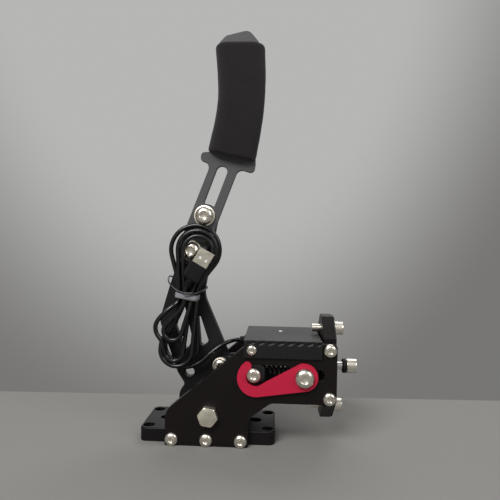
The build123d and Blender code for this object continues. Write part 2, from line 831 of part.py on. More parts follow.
def backing_plate():
    return bar(end_plate_face(backing_inset), backing_left, stop_face)


def end_bolts():
    shape = socket_screw(m6_socket, end_bolt_length)
    seat = stop_face + m6_small_washer["thickness"]
    return Compound(children=[facing(seat, 0, z, right) * shape for z in end_bolt_heights()])


def end_washers():
    ring = washer(m6_small_washer, m6_socket["shank"] + thread_gap)
    return Compound(children=[facing(stop_face, 0, z, right) * ring for z in end_bolt_heights()])


def nicks():
    """The slanted nicks along the top of both sides of the cover."""
    slant = math.radians(nick_slant)
    shape = Cylinder(nick_radius, nick_run)
    shape += Pos(0, 0, nick_run / 2) * Sphere(nick_radius) + Pos(0, 0, -nick_run / 2) * Sphere(nick_radius)
    cuts = []
    for count in range(nick_count):
        x = cover_left + nick_first + nick_pitch * count
        for side in (-1, 1):
            y = side * (cover_outer + nick_radius - nick_depth)
            cuts.append(Plane(origin=(x, y, cover_top - nick_drop), z_dir=(math.cos(slant), 0, math.sin(slant))) * shape)
    return cuts


def cover():
    shell_length = cover_right - cover_left
    profile = Pos(0, (cover_skirt + cover_top) / 2) * Rectangle(2 * cover_outer, cover_top - cover_skirt)
    profile = fillet(profile.vertices().group_by(Axis.Y)[-1], cover_round)
    profile -= Pos(0, (cover_skirt + plate_top) / 2 - 1) * Rectangle(2 * plate_outer, plate_top - cover_skirt + 2)
    shell = bar(profile, cover_left, cover_right)
    inner = plate_inner - seat_gap
    wall = Pos(0, (brace_bottom + cover_top) / 2) * Rectangle(2 * inner, cover_top - brace_bottom - 0.5)
    shell += bar(wall - Pos(0, gland_z) * Circle(gland_radius + thread_gap), cover_left, cover_left + cover_wall)
    shell -= pillar(Pos(light_x, light_y) * Circle(light_radius + thread_gap), plate_top - 1, cover_top + 1)
    shell -= pin_y(cover_screw_x, cover_screw_z, m4_button["shank"] + bolt_gap, -cover_outer - 1, cover_outer + 1)
    return shell - nicks()


def cover_screws():
    return Compound(children=both_sides(cover_screw_x, cover_screw_z, cover_outer, m4_button, cover_screw_length))


def cross_brace():
    face = Pos(0, (brace_bottom + brace_top) / 2) * Rectangle(2 * plate_inner, brace_top - brace_bottom)
    reach = gland_flange_radius + channel_gap
    channel = Pos(0, gland_z) * Circle(reach) + Pos(0, gland_z + 5) * Rectangle(2 * reach, 10)
    block = bar(face - channel, brace_left, brace_left + brace_length)
    depth = cover_screw_length - cover_wall - plate_thickness + 1.0
    radius = m4_button["shank"] + thread_gap
    block -= pin_y(cover_screw_x, cover_screw_z, radius, -plate_inner - 1, -plate_inner + depth)
    return block - pin_y(cover_screw_x, cover_screw_z, radius, plate_inner - depth, plate_inner + 1)


def board_screw_places():
    x = board_left + board_length / 2
    return GridLocations(board_length - 2 * board_screw_inset, board_width - 2 * board_screw_inset, 2, 2), x


def sensor_board():
    grid, x = board_screw_places()
    plan = RectangleRounded(board_length, board_width, 1.5)
    plan -= grid * Circle(m25_pan["shank"] + thread_gap)
    return pillar(Pos(x, 0) * plan, board_top - board_thickness, board_top)


def board_posts():
    grid, x = board_screw_places()
    ring = Circle(m25_pan["head"]) - Circle(m25_pan["shank"] + thread_gap)
    posts = [Pos(x, 0, board_top) * place * extrude(ring, plate_top - board_top) for place in grid]
    return Compound(children=posts)


def board_screws():
    grid, x = board_screw_places()
    length = board_thickness + plate_top - board_top
    shape = Rot(180, 0, 0) * button_screw(m25_pan, length)
    screws = [Pos(x, 0, board_top - board_thickness) * place * shape for place in grid]
    return Compound(children=screws)


def travel_sensor():
    plan = Pos(sensor_x, 0) * Rectangle(sensor_size, sensor_size)
    top = board_top - board_thickness
    return pillar(plan, top - sensor_height, top)


def status_light():
    lens = pillar(Pos(light_x, light_y) * Circle(light_radius), board_top, cover_top + light_stand)
    return fillet(lens.edges().filter_by(GeomType.CIRCLE).group_by(Axis.Z)[-1], 0.25)


def cable_gland():
    bore = Pos(0, gland_z) * Circle(cable_radius + thread_gap)
    start = cover_left - gland_reach
    body = bar(Pos(0, gland_z) * Circle(gland_radius) - bore, start, cover_left + cover_wall + 1.2)
    body += bar(Pos(0, gland_z) * Circle(gland_flange_radius) - bore, cover_left - gland_flange, cover_left)
    body += bar(Pos(0, gland_z) * Circle(gland_flange_radius) - bore, cover_left + cover_wall, cover_left + cover_wall + 1.2)
    for count in range(2):
        ring = Pos(0, gland_z) * (Circle(gland_radius + 0.1) - Circle(gland_radius - 0.5))
        body -= bar(ring, start + 0.7 + 1.3 * count, start + 1.2 + 1.3 * count)
    return body


def arc_corners(x, z, radius, start, end, y):
    """Corners of a polygon round a circle, clockwise from one angle to another in the plane of the lever."""
    step = (end - start) / ring_corners
    reach = radius / math.cos(math.radians(step / 2))
    corners = []
    for count in range(ring_corners):
        angle = math.radians(start + step * (count + 0.5))
        corners.append((x + reach * math.cos(angle), y, z + reach * math.sin(angle)))
    return corners


def touch_angle(ring, point, side):
    """The angle where a line from a point on the waist touches a ring, on its left or right side."""
    x, z, radius = ring
    away = math.degrees(math.atan2(point[1] - z, point[0] - x))
    spread = math.degrees(math.acos(radius / math.hypot(point[0] - x, point[1] - z)))
    return away - side * spread


def inner(ring):
    """The ring one strand inside another."""
    return (ring[0], ring[1], ring[2] - strand_pitch)


def ring_points(ring, enter, leave):
    """One round end of a loop, from the waist strand it comes from to the one it goes to."""
    side = 1 if ring[1] > waist_z else -1
    edge = waist_z + side * waist_half_height
    start = touch_angle(ring, (enter[0], edge), 1)
    end = touch_angle(ring, (leave[0], edge), -1)
    while end > start - 180:
        end -= 360
    corners = arc_corners(*ring, start, end, leave[1])
    return [(enter[0], enter[1], edge)] + corners + [(leave[0], leave[1], edge)]


def hank_route():
    """Two loops in at the rear, a climb, two loops out in front of them, and the way up to the plug."""
    near_left = waist_x - 0.5 * strand_pitch
    far_left = waist_x - 1.5 * strand_pitch
    near_right = waist_x + 0.5 * strand_pitch
    far_right = waist_x + 1.5 * strand_pitch
    front_near = waist_x + strand_pitch
    front_far = waist_x + 2 * strand_pitch
    foot = waist_z - waist_half_height
    end = touch_angle(rear_lower, (far_left, foot), -1) - 360
    route = [(rear_lower[0] + 2 * cable_radius, rear_layer, rear_lower[1] - rear_lower[2])]
    route += arc_corners(*rear_lower, -90, end, rear_layer)
    route.append((far_left, rear_layer, foot))
    route += ring_points(rear_upper, (far_left, rear_layer), (far_right, rear_layer))
    route += ring_points(inner(rear_lower), (far_right, rear_layer), (near_left, rear_layer))
    route += ring_points(inner(rear_upper), (near_left, rear_layer), (near_right, rear_layer))
    route += ring_points(inner(front_lower), (near_right, rear_layer), (near_left, front_layer))
    route += ring_points(inner(front_upper), (near_left, front_layer), (front_near, front_layer))
    route += ring_points(front_lower, (front_near, front_layer), (far_left, front_layer))
    route += ring_points(front_upper, (far_left, front_layer), (front_far, front_layer))
    route += ring_points(last_lower, (front_far, last_layer), (waist_x, last_layer))
    foot_of_plug = plug_place()
    run_up = foot_of_plug.origin - foot_of_plug.z_dir * plug_run
    return route + [tuple(run_up), tuple(foot_of_plug.origin)]


def closest_gap(path, radius):
    """The least gap of a tube to itself, measured on points a millimetre apart."""
    count = int(path.length)
    points = [tuple(path @ (place / count)) for place in range(count + 1)]
    skip = int(5 * radius)
    least = min(math.dist(point, other) for place, point in enumerate(points) for other in points[place + skip:])
    return least - 2 * radius


def lead_hank():
    route = hank_route()
    path = FilletPolyline(*route, radius=corner_radii(route))
    print("hank length", round(path.length, 1), "least gap", round(closest_gap(path, cable_radius), 2))
    return tube(path, cable_radius, cord_sides)


def lead_run():
    start = (cover_left - gland_reach, 0.0, gland_z)
    end = hank_route()[0]
    first = (start[0] - 2 * cable_radius, 0.0, gland_z)
    last = (end[0] + lead_end_run, end[1], end[2])
    route = [start, first] + lead_route + [last, end]
    radii = corner_radii(route)
    print("lead radii", [round(radius, 1) for radius in radii])
    path = FilletPolyline(*route, radius=radii)
    solid = tube(path, cable_radius, cord_sides)
    section = cord_sides / 2 * cable_radius ** 2 * math.sin(2 * math.pi / cord_sides)
    print("lead length", round(path.length, 1), "volume ratio", round(solid.volume / (section * path.length), 4))
    return solid


def bundle_depths():
    """Y of the back and front of the cords where they are tied."""
    return rear_layer + cable_radius, plug_layer - cable_radius


def cable_band():
    """The pale band round the cords at the waist."""
    back, front = bundle_depths()
    half = 1.75 * strand_pitch + cable_radius + band_gap
    depth = back - front + 2 * band_gap
    wall = 2 * band_thickness
    ring = RectangleRounded(2 * half + wall, depth + wall, cable_radius + band_thickness)
    ring -= RectangleRounded(2 * half, depth, cable_radius)
    place = Pos(waist_x + 0.25 * strand_pitch, (back + front) / 2, waist_z) * Rot(0, band_tilt, 0)
    return place * pillar(ring, -band_height / 2, band_height / 2)


def arm_strap():
    """The thin wire tie that holds the cords to the lever, its ends laid side by side in front."""
    back = arm_half + strap_radius + seat_gap
    front = bundle_depths()[1] - strap_radius - seat_gap
    low = waist_z + band_height / 2 + strap_radius + strap_clear
    points = [(x, front, low + rise) for x, rise in strap_front]
    points[-1] = (points[-1][0], front - 2 * strap_radius - seat_gap, points[-1][2])
    turn = len(strap_front) - 2
    points[turn:turn] = [(x, back if behind else strap_side_y, low + rise) for x, behind, rise in strap_round]
    bends = [min(radius, strap_bend) for radius in corner_radii(points)]
    return tube(FilletPolyline(*points, radius=bends), strap_radius, 6)


def plug_place():
    """A place at the foot of the plug's boot, Z along the plug towards its open end."""
    lean = math.radians(plug_lean)
    axis = (math.sin(lean), 0, math.cos(lean))
    return Plane(origin=(plug_foot[0], plug_layer, plug_foot[1]), x_dir=(math.cos(lean), 0, -math.sin(lean)), z_dir=axis)


def plug_overmould():
    body = pillar(RectangleRounded(overmould_width, overmould_depth, 2.4), boot_length, boot_length + overmould_length)
    body = fillet(body.faces().sort_by(Axis.Z)[0].edges(), 2.0)
    boot = loft([Circle(cable_radius + 1.0), Pos(0, 0, boot_length + 0.5) * Circle(cable_radius + 1.9)])
    return plug_place() * (body + boot)


def plug_shell():
    start = boot_length + overmould_length
    outline = RectangleRounded(shell_width, shell_depth, 0.5)
    inside = RectangleRounded(shell_width - 2 * shell_wall, shell_depth - 2 * shell_wall, 0.3)
    shell = pillar(outline, start, start + shell_length) - pillar(inside, start + 1.0, start + shell_length + 1)
    window = GridLocations(shell_window_pitch, 0, 2, 1) * Rectangle(shell_window, shell_window)
    middle = start + shell_length * 0.45
    cut = slab(Sketch() + [Pos(0, middle) * hole for hole in window], -shell_depth, shell_depth)
    return plug_place() * (shell - cut)


def plug_tongue():
    start = boot_length + overmould_length + 1.0
    block = Pos(0, (shell_depth - tongue_depth) / 2 - shell_wall - 0.1) * Rectangle(tongue_width, tongue_depth)
    return plug_place() * pillar(block, start, start + shell_length - 1.6)


nodes = {
    "base_block": base_block,
    "near_side_plate": lambda: side_plate(-plate_outer, -plate_inner),
    "far_side_plate": lambda: side_plate(plate_inner, plate_outer),
    "foot_screws": foot_screws,
    "end_screws": end_screws,
    "pivot_bolt": pivot_bolt,
    "pivot_washer": pivot_washer,
    "pivot_nut": pivot_nut,
    "pivot_sleeve": pivot_sleeve,
    "pivot_spacers": pivot_spacers,
    "pivot_bushes": pivot_bushes,
    "lower_arm": lower_arm,
    "upper_arm": upper_arm,
    "grip_sleeve": grip_sleeve,
    "arm_bolts": arm_bolts,
    "arm_washers": arm_washers,
    "arm_nuts": arm_nuts,
    "link_bolt": link_bolt,
    "link_washers": link_washers,
    "link_nut": link_nut,
    "pull_fork": pull_fork,
    "pull_rod": pull_rod,
    "bump_ring": bump_ring,
    "rod_head": rod_head,
    "rod_bush": rod_bush,
    "thrust_collar": thrust_collar,
    "sensor_magnet": sensor_magnet,
    "main_spring": main_spring,
    "return_spring": return_spring,
    "carriage": carriage,
    "mode_pins": mode_pins,
    "hook": hook,
    "hook_bush": hook_bush,
    "hook_bolt": hook_bolt,
    "hook_nut": hook_nut,
    "end_plate": end_plate,
    "backing_plate": backing_plate,
    "end_bolts": end_bolts,
    "end_washers": end_washers,
    "cover": cover,
    "cover_screws": cover_screws,
    "cross_brace": cross_brace,
    "sensor_board": sensor_board,
    "board_posts": board_posts,
    "board_screws": board_screws,
    "travel_sensor": travel_sensor,
    "status_light": status_light,
    "cable_gland": cable_gland,
    "lead_run": lead_run,
    "lead_hank": lead_hank,
    "cable_band": cable_band,
    "arm_strap": arm_strap,
    "plug_overmould": plug_overmould,
    "plug_shell": plug_shell,
    "plug_tongue": plug_tongue,
}

for name, make in nodes.items():
    export_step(make(), f"parts/{name}.step")
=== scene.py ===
import math
import bpy
from mathutils import Matrix, Vector


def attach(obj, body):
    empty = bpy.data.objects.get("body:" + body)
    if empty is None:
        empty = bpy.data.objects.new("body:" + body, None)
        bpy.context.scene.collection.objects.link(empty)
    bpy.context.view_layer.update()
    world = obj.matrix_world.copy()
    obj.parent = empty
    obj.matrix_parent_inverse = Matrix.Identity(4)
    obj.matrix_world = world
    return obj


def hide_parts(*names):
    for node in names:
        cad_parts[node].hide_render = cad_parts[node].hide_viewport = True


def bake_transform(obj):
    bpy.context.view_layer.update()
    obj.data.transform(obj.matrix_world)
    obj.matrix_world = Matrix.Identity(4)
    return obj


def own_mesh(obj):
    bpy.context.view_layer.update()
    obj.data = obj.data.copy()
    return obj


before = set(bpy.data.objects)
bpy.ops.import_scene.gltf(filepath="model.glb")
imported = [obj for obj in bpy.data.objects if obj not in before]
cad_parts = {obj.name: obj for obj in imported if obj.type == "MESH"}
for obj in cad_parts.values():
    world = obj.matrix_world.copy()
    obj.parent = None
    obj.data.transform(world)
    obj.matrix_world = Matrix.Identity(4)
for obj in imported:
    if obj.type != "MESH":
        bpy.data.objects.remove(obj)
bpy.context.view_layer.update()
print("frame loaded")

mm = 0.001


def toLinear(red, green, blue):
    # colours are written as they look on a screen, 0 to 255
    out = []
    for channel in (red, green, blue):
        share = channel / 255
        out.append(share / 12.92 if share <= 0.04045 else ((share + 0.055) / 1.055) ** 2.4)
    return (*out, 1.0)


def scaled(colour, factor):
    return (*(channel * factor for channel in colour[:3]), 1.0)


def moved(x, y, z):
    return Matrix.Translation(Vector((x, y, z)) * mm)


def turned(angle, axis):
    return Matrix.Rotation(math.radians(angle), 4, axis)


def newObject(name, data):
    item = bpy.data.objects.new(name, data)
    bpy.context.scene.collection.objects.link(item)
    return item


# camera
view = {
    "place": (45.72, -388.19, 144.04),
    "yaw": 2.61,
    "pitch": -0.23,
    "roll": 1.11,
    "sensor": 36.0,
    "lens": 35.824,
    "clip": (0.01, 20.0),
}


def makeCamera():
    yaw, pitch, roll = (math.radians(view[key]) for key in ("yaw", "pitch", "roll"))
    level = math.cos(pitch)
    forward = Vector((-math.sin(yaw) * level, math.cos(yaw) * level, math.sin(pitch)))
    side = Vector((math.cos(yaw), math.sin(yaw), 0))
    upward = side.cross(forward)
    across = side * math.cos(roll) + upward * math.sin(roll)
    top = upward * math.cos(roll) - side * math.sin(roll)
    data = bpy.data.cameras.new("camera")
    data.sensor_fit = "HORIZONTAL"
    data.sensor_width = view["sensor"]
    data.lens = view["lens"]
    data.clip_start, data.clip_end = view["clip"]
    camera = newObject("camera", data)
    turn = Matrix((across, top, -forward)).transposed().to_4x4()
    camera.matrix_world = moved(*view["place"]) @ turn
    bpy.context.scene.camera = camera


makeCamera()
print("camera placed")


# materials
# numbers of the colour sockets of a mix node
mixSockets = {"share": 0, "first": 6, "second": 7, "result": 2}


class Nodes:
    # adds nodes to a tree and joins them
    def __init__(self, tree):
        self.tree = tree

    def add(self, kind, **values):
        node = self.tree.nodes.new(kind)
        for key, value in values.items():
            if key in node.inputs:
                node.inputs[key].default_value = value
            else:
                setattr(node, key, value)
        return node

    def join(self, source, target):
        self.tree.links.new(source, target)

    def fill(self, socket, value):
        # joins a socket to the value's node, or gives it a plain value
        if isinstance(value, bpy.types.NodeSocket):
            self.join(value, socket)
        else:
            socket.default_value = value

    def mixed(self, share, first, second):
        node = self.add("ShaderNodeMix", data_type="RGBA")
        for key, value in (("share", share), ("first", first), ("second", second)):
            self.fill(node.inputs[mixSockets[key]], value)
        return node.outputs[mixSockets["result"]]

    def ranged(self, source, low, high, begin=0.3, end=0.7, **values):
        # a value that goes from low to high while its source goes from begin to end
        node = self.add("ShaderNodeMapRange", **values)
        for key, value in zip(("From Min", "From Max", "To Min", "To Max"), (begin, end, low, high)):
            node.inputs[key].default_value = value
        self.join(source, node.inputs["Value"])
        return node.outputs["Result"]

    def worked(self, kind, operation, first, second, **values):
        # a node that works something out from two values
        node = self.add(kind, operation=operation, **values)
        self.fill(node.inputs[0], first)
        self.fill(node.inputs[1], second)
        return node


class Shader(Nodes):
    # the nodes of one material
    def __init__(self, name):
        self.material = bpy.data.materials.new(name)
        self.material.use_nodes = True
        super().__init__(self.material.node_tree)
        self.base = self.tree.nodes["Principled BSDF"]
        self.place = self.add("ShaderNodeTexCoord").outputs["Object"]

    def stretched(self, scale, turn=(0, 0, 0)):
        angles = [math.radians(angle) for angle in turn]
        mapping = self.add("ShaderNodeMapping", Scale=scale, Rotation=angles)
        self.join(self.place, mapping.inputs["Vector"])
        return mapping.outputs["Vector"]

    def noise(self, scale, detail=3.0, roughness=0.5, vector=None):
        node = self.add("ShaderNodeTexNoise", Scale=scale, Detail=detail, Roughness=roughness)
        self.join(vector or self.place, node.inputs["Vector"])
        return node.outputs["Fac"]

    def tinted(self, tone, noise, most, colour, begin=0.3, end=0.7):
        # a tone that turns towards the colour, at most so far, where the noise is high
        return self.mixed(self.ranged(noise, 0.0, most, begin, end), tone, colour)

    def bumped(self, height, strength, distance, below=None):
        node = self.add("ShaderNodeBump", Strength=strength, Distance=distance)
        self.join(height, node.inputs["Height"])
        if below:
            self.join(below, node.inputs["Normal"])
        return node.outputs["Normal"]

    def finish(self, **values):
        for key, value in values.items():
            self.fill(self.base.inputs[key.replace("_", " ")], value)
        return self.material


def coatedMetal(name, colour, roughness, gloss=0.2, grain=2600.0, bump=0.25, patch=0.35):
    # a satin coat: fine grain, faint wear patches, specks of dust and handling marks
    shader = Shader(name)
    fine = shader.noise(scale=grain, detail=2.0, roughness=0.6)
    broad = shader.noise(scale=55.0, detail=5.0, roughness=0.62)
    smear = shader.noise(scale=18.0, vector=shader.stretched((1.0, 1.0, 2.6), (12, 0, 24)))
    dust = shader.noise(scale=900.0, detail=1.0, roughness=0.4)
    tone = shader.tinted(colour, broad, patch, scaled(colour, 1.7))
    tone = shader.tinted(tone, fine, 0.3, scaled(colour, 0.62))
    tone = shader.tinted(tone, dust, 0.07, toLinear(120, 118, 116), begin=0.69, end=0.78)
    rough = shader.ranged(smear, roughness - 0.07, roughness + 0.09)
    normal = shader.bumped(fine, strength=bump, distance=0.00006)
    return shader.finish(Base_Color=tone, Roughness=rough, Normal=normal, Specular_IOR_Level=gloss)


def brightMetal(name, colour, roughness, lines=(900.0, 900.0, 40.0), bump=0.12, stain=0.3):
    # plated or bare metal with drawn marks and faint stains
    shader = Shader(name)
    marks = shader.noise(scale=1.0, roughness=0.6, vector=shader.stretched(lines))
    broad = shader.noise(scale=140.0, detail=4.0, roughness=0.6)
    tone = shader.tinted(colour, broad, stain, scaled(colour, 0.55))
    tone = shader.tinted(tone, marks, 0.25, scaled(colour, 1.12))
    rough = shader.ranged(marks, roughness - 0.05, roughness + 0.11)
    normal = shader.bumped(marks, strength=bump, distance=0.00005)
    return shader.finish(Base_Color=tone, Metallic=1.0, Roughness=rough, Normal=normal)


def mouldedPlastic(name, colour, roughness, grain=1500.0, bump=0.3, gloss=0.4):
    # moulded plastic or rubber: an eggshell surface and dull patches
    shader = Shader(name)
    fine = shader.noise(scale=grain, detail=2.0, roughness=0.55)
    broad = shader.noise(scale=70.0, detail=4.0, roughness=0.6)
    tone = shader.tinted(colour, broad, 0.5, scaled(colour, 1.6))
    rough = shader.ranged(broad, roughness - 0.06, roughness + 0.08)
    normal = shader.bumped(fine, strength=bump, distance=0.00005)
    return shader.finish(Base_Color=tone, Roughness=rough, Normal=normal, Specular_IOR_Level=gloss)


def foamSkin(name, colour):
    # closed-cell foam: open pores with painted shade darkening their pits, soft sheen, dust and darker rubbed
    # places
    shader = Shader(name)
    cells = shader.add("ShaderNodeTexVoronoi", Scale=1500.0)
    shader.join(shader.place, cells.inputs["Vector"])
    poreShadeAndPits = cells.outputs["Distance"]
    fine = shader.noise(scale=4200.0, detail=2.0, roughness=0.6)
    broad = shader.noise(scale=45.0, detail=5.0, roughness=0.6)
    dust = shader.noise(scale=700.0, detail=1.0, roughness=0.4)
    tone = shader.tinted(colour, broad, 0.6, scaled(colour, 1.45))
    # painted shade: the colour is darkened towards the middle of each pore, where its pit is
    tone = shader.mixed(shader.ranged(poreShadeAndPits, 0.5, 0.0, begin=0.0, end=0.45), tone, scaled(colour, 0.5))
    tone = shader.tinted(tone, dust, 0.1, toLinear(92, 88, 90), begin=0.7, end=0.8)
    pits = shader.bumped(poreShadeAndPits, strength=0.5, distance=0.00022)
    normal = shader.bumped(fine, strength=0.4, distance=0.0001, below=pits)
    return shader.finish(
        Base_Color=tone, Roughness=0.93, Normal=normal, Specular_IOR_Level=0.12, Sheen_Weight=0.12,
        Sheen_Roughness=0.6,
    )


def tapeSkin(name, colour):
    # matt tape with fine lines along it
    shader = Shader(name)
    along = shader.stretched((160.0, 160.0, 2600.0))
    lines = shader.noise(scale=1.0, detail=2.0, roughness=0.6, vector=along)
    broad = shader.noise(scale=220.0, detail=4.0, roughness=0.6)
    tone = shader.tinted(colour, broad, 0.8, toLinear(150, 151, 155))
    tone = shader.tinted(tone, lines, 0.4, toLinear(104, 105, 108))
    normal = shader.bumped(lines, strength=0.4, distance=0.0001)
    return shader.finish(Base_Color=tone, Roughness=0.62, Normal=normal)


def boardCoat(name, colour):
    # a green board with lighter tracks under its coat
    shader = Shader(name)
    tracks = shader.add(
        "ShaderNodeTexBrick", offset=0.5, Scale=260.0, Color1=colour, Color2=toLinear(18, 78, 44),
        Mortar=toLinear(52, 120, 66), **{"Mortar Size": 0.06},
    )
    shader.join(shader.place, tracks.inputs["Vector"])
    broad = shader.noise(scale=120.0)
    tone = shader.tinted(tracks.outputs["Color"], broad, 0.3, toLinear(10, 50, 30))
    return shader.finish(Base_Color=tone, Roughness=0.28, Coat_Weight=0.4)


def milkyLens(name, colour):
    shader = Shader(name)
    broad = shader.noise(scale=900.0, detail=2.0)
    tone = shader.tinted(colour, broad, 0.5, toLinear(206, 205, 200))
    return shader.finish(Base_Color=tone, Roughness=0.14, Coat_Weight=0.6)


surfaces = {
    # finish: slot, kind of surface, colour, values of the surface
    "blackPlate": ("black_plate", coatedMetal, (17, 11, 12), dict(roughness=0.4)),
    "baseMetal": ("base_metal", coatedMetal, (15, 12, 13), dict(roughness=0.44)),
    "armMetal": ("arm_metal", coatedMetal, (23, 21, 22), dict(roughness=0.46, gloss=0.22)),
    "upperArmMetal": (
        "upper_arm_metal", coatedMetal, (80, 79, 80), dict(roughness=0.5, gloss=0.22, patch=0.15),
    ),
    "coverMetal": ("cover_metal", coatedMetal, (21, 22, 22), dict(roughness=0.44, gloss=0.26)),
    "redCoat": (
        "hook_red", coatedMetal, (184, 30, 60),
        dict(roughness=0.46, gloss=0.22, grain=2400.0, bump=0.15, patch=0.1),
    ),
    "gripFoam": ("grip_foam", foamSkin, (27, 23, 26), {}),
    "brightScrew": (
        "bright_screws", brightMetal, (226, 220, 208),
        dict(roughness=0.25, lines=(90.0, 90.0, 90.0), bump=0.04, stain=0.08),
    ),
    "boltSteel": (
        "steel_bolts", brightMetal, (234, 227, 211),
        dict(roughness=0.42, lines=(160.0, 160.0, 160.0), bump=0.1, stain=0.2),
    ),
    "groundSteel": (
        "ground_steel", brightMetal, (205, 203, 200),
        dict(roughness=0.2, lines=(60.0, 1800.0, 1800.0), bump=0.08, stain=0.15),
    ),
    "bushBronze": ("bush_bronze", brightMetal, (178, 138, 86), dict(roughness=0.34)),
    "spacerMetal": ("spacer_metal", brightMetal, (120, 120, 122), dict(roughness=0.4)),
    "springWire": (
        "spring_steel", brightMetal, (92, 90, 87),
        dict(roughness=0.34, lines=(500.0, 2500.0, 2500.0), bump=0.1, stain=0.5),
    ),
    "carriagePlastic": ("carriage_plastic", mouldedPlastic, (18, 17, 18), dict(roughness=0.5)),
    "stopRubber": ("stop_rubber", mouldedPlastic, (20, 19, 20), dict(roughness=0.6, gloss=0.25)),
    "backingSheet": ("backing_rubber", coatedMetal, (25, 23, 24), dict(roughness=0.5)),
    "chipPlastic": ("chip_plastic", mouldedPlastic, (30, 30, 31), dict(roughness=0.4)),
    "magnetMetal": ("magnet_metal", brightMetal, (200, 200, 202), dict(roughness=0.16)),
    "cordJacket": (
        "cord_jacket", mouldedPlastic, (10, 10, 11), dict(roughness=0.27, grain=1800.0, bump=0.08, gloss=0.5),
    ),
    "tiePlastic": ("tie_plastic", mouldedPlastic, (46, 46, 50), dict(roughness=0.34)),
    "plugPlastic": (
        "plug_plastic", mouldedPlastic, (11, 10, 11), dict(roughness=0.5, grain=1400.0, gloss=0.2),
    ),
    "plugMetal": (
        "plug_metal", brightMetal, (210, 204, 189),
        dict(roughness=0.32, lines=(80.0, 700.0, 700.0), bump=0.06, stain=0.12),
    ),
    "tonguePlastic": ("tongue_plastic", mouldedPlastic, (205, 204, 200), dict(roughness=0.45)),
    "bandTape": ("band_grey", tapeSkin, (128, 129, 133), {}),
    "boardCoat": ("board_green", boardCoat, (14, 66, 38), {}),
    "clearLens": ("lens_plastic", milkyLens, (232, 231, 226), {}),
}
finishes = {
    name: make(name, toLinear(*colour), **values) for name, (slot, make, colour, values) in surfaces.items()
}
print("materials made", len(finishes))


# ways of making a piece
limits = {
    # metres within which two points are one, in a copied solid and in a mesh made here
    "seam": 0.000004,
    "weld": 0.000002,
    # degrees below which an edge of a solid goes
    "flat": 0.6,
    # metres within which a face is at a level, and how upright the normal of a top or bottom is
    "level": 0.00002,
    "upright": 0.9,
}
near, far, right, down = (0, -1, 0), (0, 1, 0), (1, 0, 0), (0, 0, -1)


def deselect():
    if bpy.context.object and bpy.context.object.mode != "OBJECT":
        bpy.ops.object.mode_set(mode="OBJECT")
    bpy.ops.object.select_all(action="DESELECT")


def pick(piece):
    deselect()
    piece.select_set(True)
    bpy.context.view_layer.objects.active = piece


def openMesh(piece, action="SELECT"):
    # edit mode, with everything or nothing selected
    pick(piece)
    bpy.ops.object.mode_set(mode="EDIT")
    bpy.ops.mesh.select_all(action=action)


def closeMesh():
    bpy.ops.object.mode_set(mode="OBJECT")


def selectParts(piece, kind, test):
    # selects the faces, edges or points that pass the test, and leaves edit mode on
    openMesh(piece, "DESELECT")
    bpy.ops.mesh.select_mode(type=kind)
    closeMesh()
    mesh = piece.data
    for part in {"FACE": mesh.polygons, "EDGE": mesh.edges, "VERT": mesh.vertices}[kind]:
        part.select = test(part)
    bpy.ops.object.mode_set(mode="EDIT")


def weld(piece):
    openMesh(piece)
    bpy.ops.mesh.remove_doubles(threshold=limits["weld"])
    bpy.ops.mesh.normals_make_consistent(inside=False)
    closeMesh()


def applyModifier(piece, kind, **values):
    pick(piece)
    modifier = piece.modifiers.new(kind.title(), kind)
    for key, value in values.items():
        setattr(modifier, key, value)
    bpy.ops.object.modifier_apply(modifier=modifier.name)


def settle(piece):
    # puts the place into the mesh, so that the object sits at the origin
    pick(piece)
    bpy.ops.object.transform_apply(location=True, rotation=True, scale=True)
    return piece


def placed(piece, place):
    piece.matrix_world = place
    bpy.context.view_layer.update()
    return settle(piece)


def smooth(piece, angle):
    pick(piece)
    bpy.ops.object.shade_smooth_by_angle(angle=math.radians(angle))
    return piece


def dress(piece, finish):
    piece.data.materials.clear()
    piece.data.materials.append(finishes[finish])


def camel(node):
    first, *others = node.split("_")
    return first + "".join(word.title() for word in others)


def hand(piece, node, body, finish, name=None):
    # names a finished piece, fixes it to its body and hides the node it stands for
    name = name or camel(node)
    piece.name = name
    piece.data.name = name
    dress(piece, finish)
    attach(piece, body)
    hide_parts(node)
    return piece


def copyNode(node):
    piece = newObject(node + "Copy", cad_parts[node].data.copy())
    openMesh(piece)
    bpy.ops.mesh.remove_doubles(threshold=limits["seam"])
    bpy.ops.mesh.dissolve_limited(angle_limit=math.radians(limits["flat"]))
    closeMesh()
    return piece


def roundEdges(piece, width, segments=2, angle=38.0):
    applyModifier(
        piece, "BEVEL", width=width * mm, segments=segments, limit_method="ANGLE",
        angle_limit=math.radians(angle), use_clamp_overlap=False, miter_outer="MITER_ARC", harden_normals=False,
    )


def joined(pieces):
    deselect()
    for piece in pieces:
        piece.select_set(True)
    bpy.context.view_layer.objects.active = pieces[0]
    if len(pieces) > 1:
        bpy.ops.object.join()
    return pieces[0]


def repeated(model, places):
    # copies of one model, each with its own mesh, joined into one piece
    copies = []
    for place in places:
        copied = model.copy()
        copied.data = model.data.copy()
        bpy.context.scene.collection.objects.link(copied)
        copies.append(placed(copied, place))
    bpy.data.objects.remove(model)
    return joined(copies)


def facing(x, y, z, direction, spin=0.0):
    # a place whose own Z points along the direction
    turn = Vector(direction).to_track_quat("Z", "Y").to_matrix().to_4x4()
    return moved(x, y, z) @ turn @ turned(spin, "Z")


def cylinder(radius, low, high, sides=48):
    deselect()
    bpy.ops.mesh.primitive_cylinder_add(
        vertices=sides, radius=radius * mm, depth=(high - low) * mm, location=(0, 0, (low + high) / 2 * mm),
    )
    return settle(bpy.context.object)


def block(size, middle=(0, 0, 0), spin=0.0):
    deselect()
    bpy.ops.mesh.primitive_cube_add(
        size=1, location=[value * mm for value in middle], rotation=(0, 0, math.radians(spin)),
        scale=[value * mm for value in size],
    )
    return settle(bpy.context.object)


def cutOut(piece, cutter, operation="DIFFERENCE"):
    applyModifier(piece, "BOOLEAN", object=cutter, operation=operation, solver="EXACT")
    bpy.data.objects.remove(cutter)


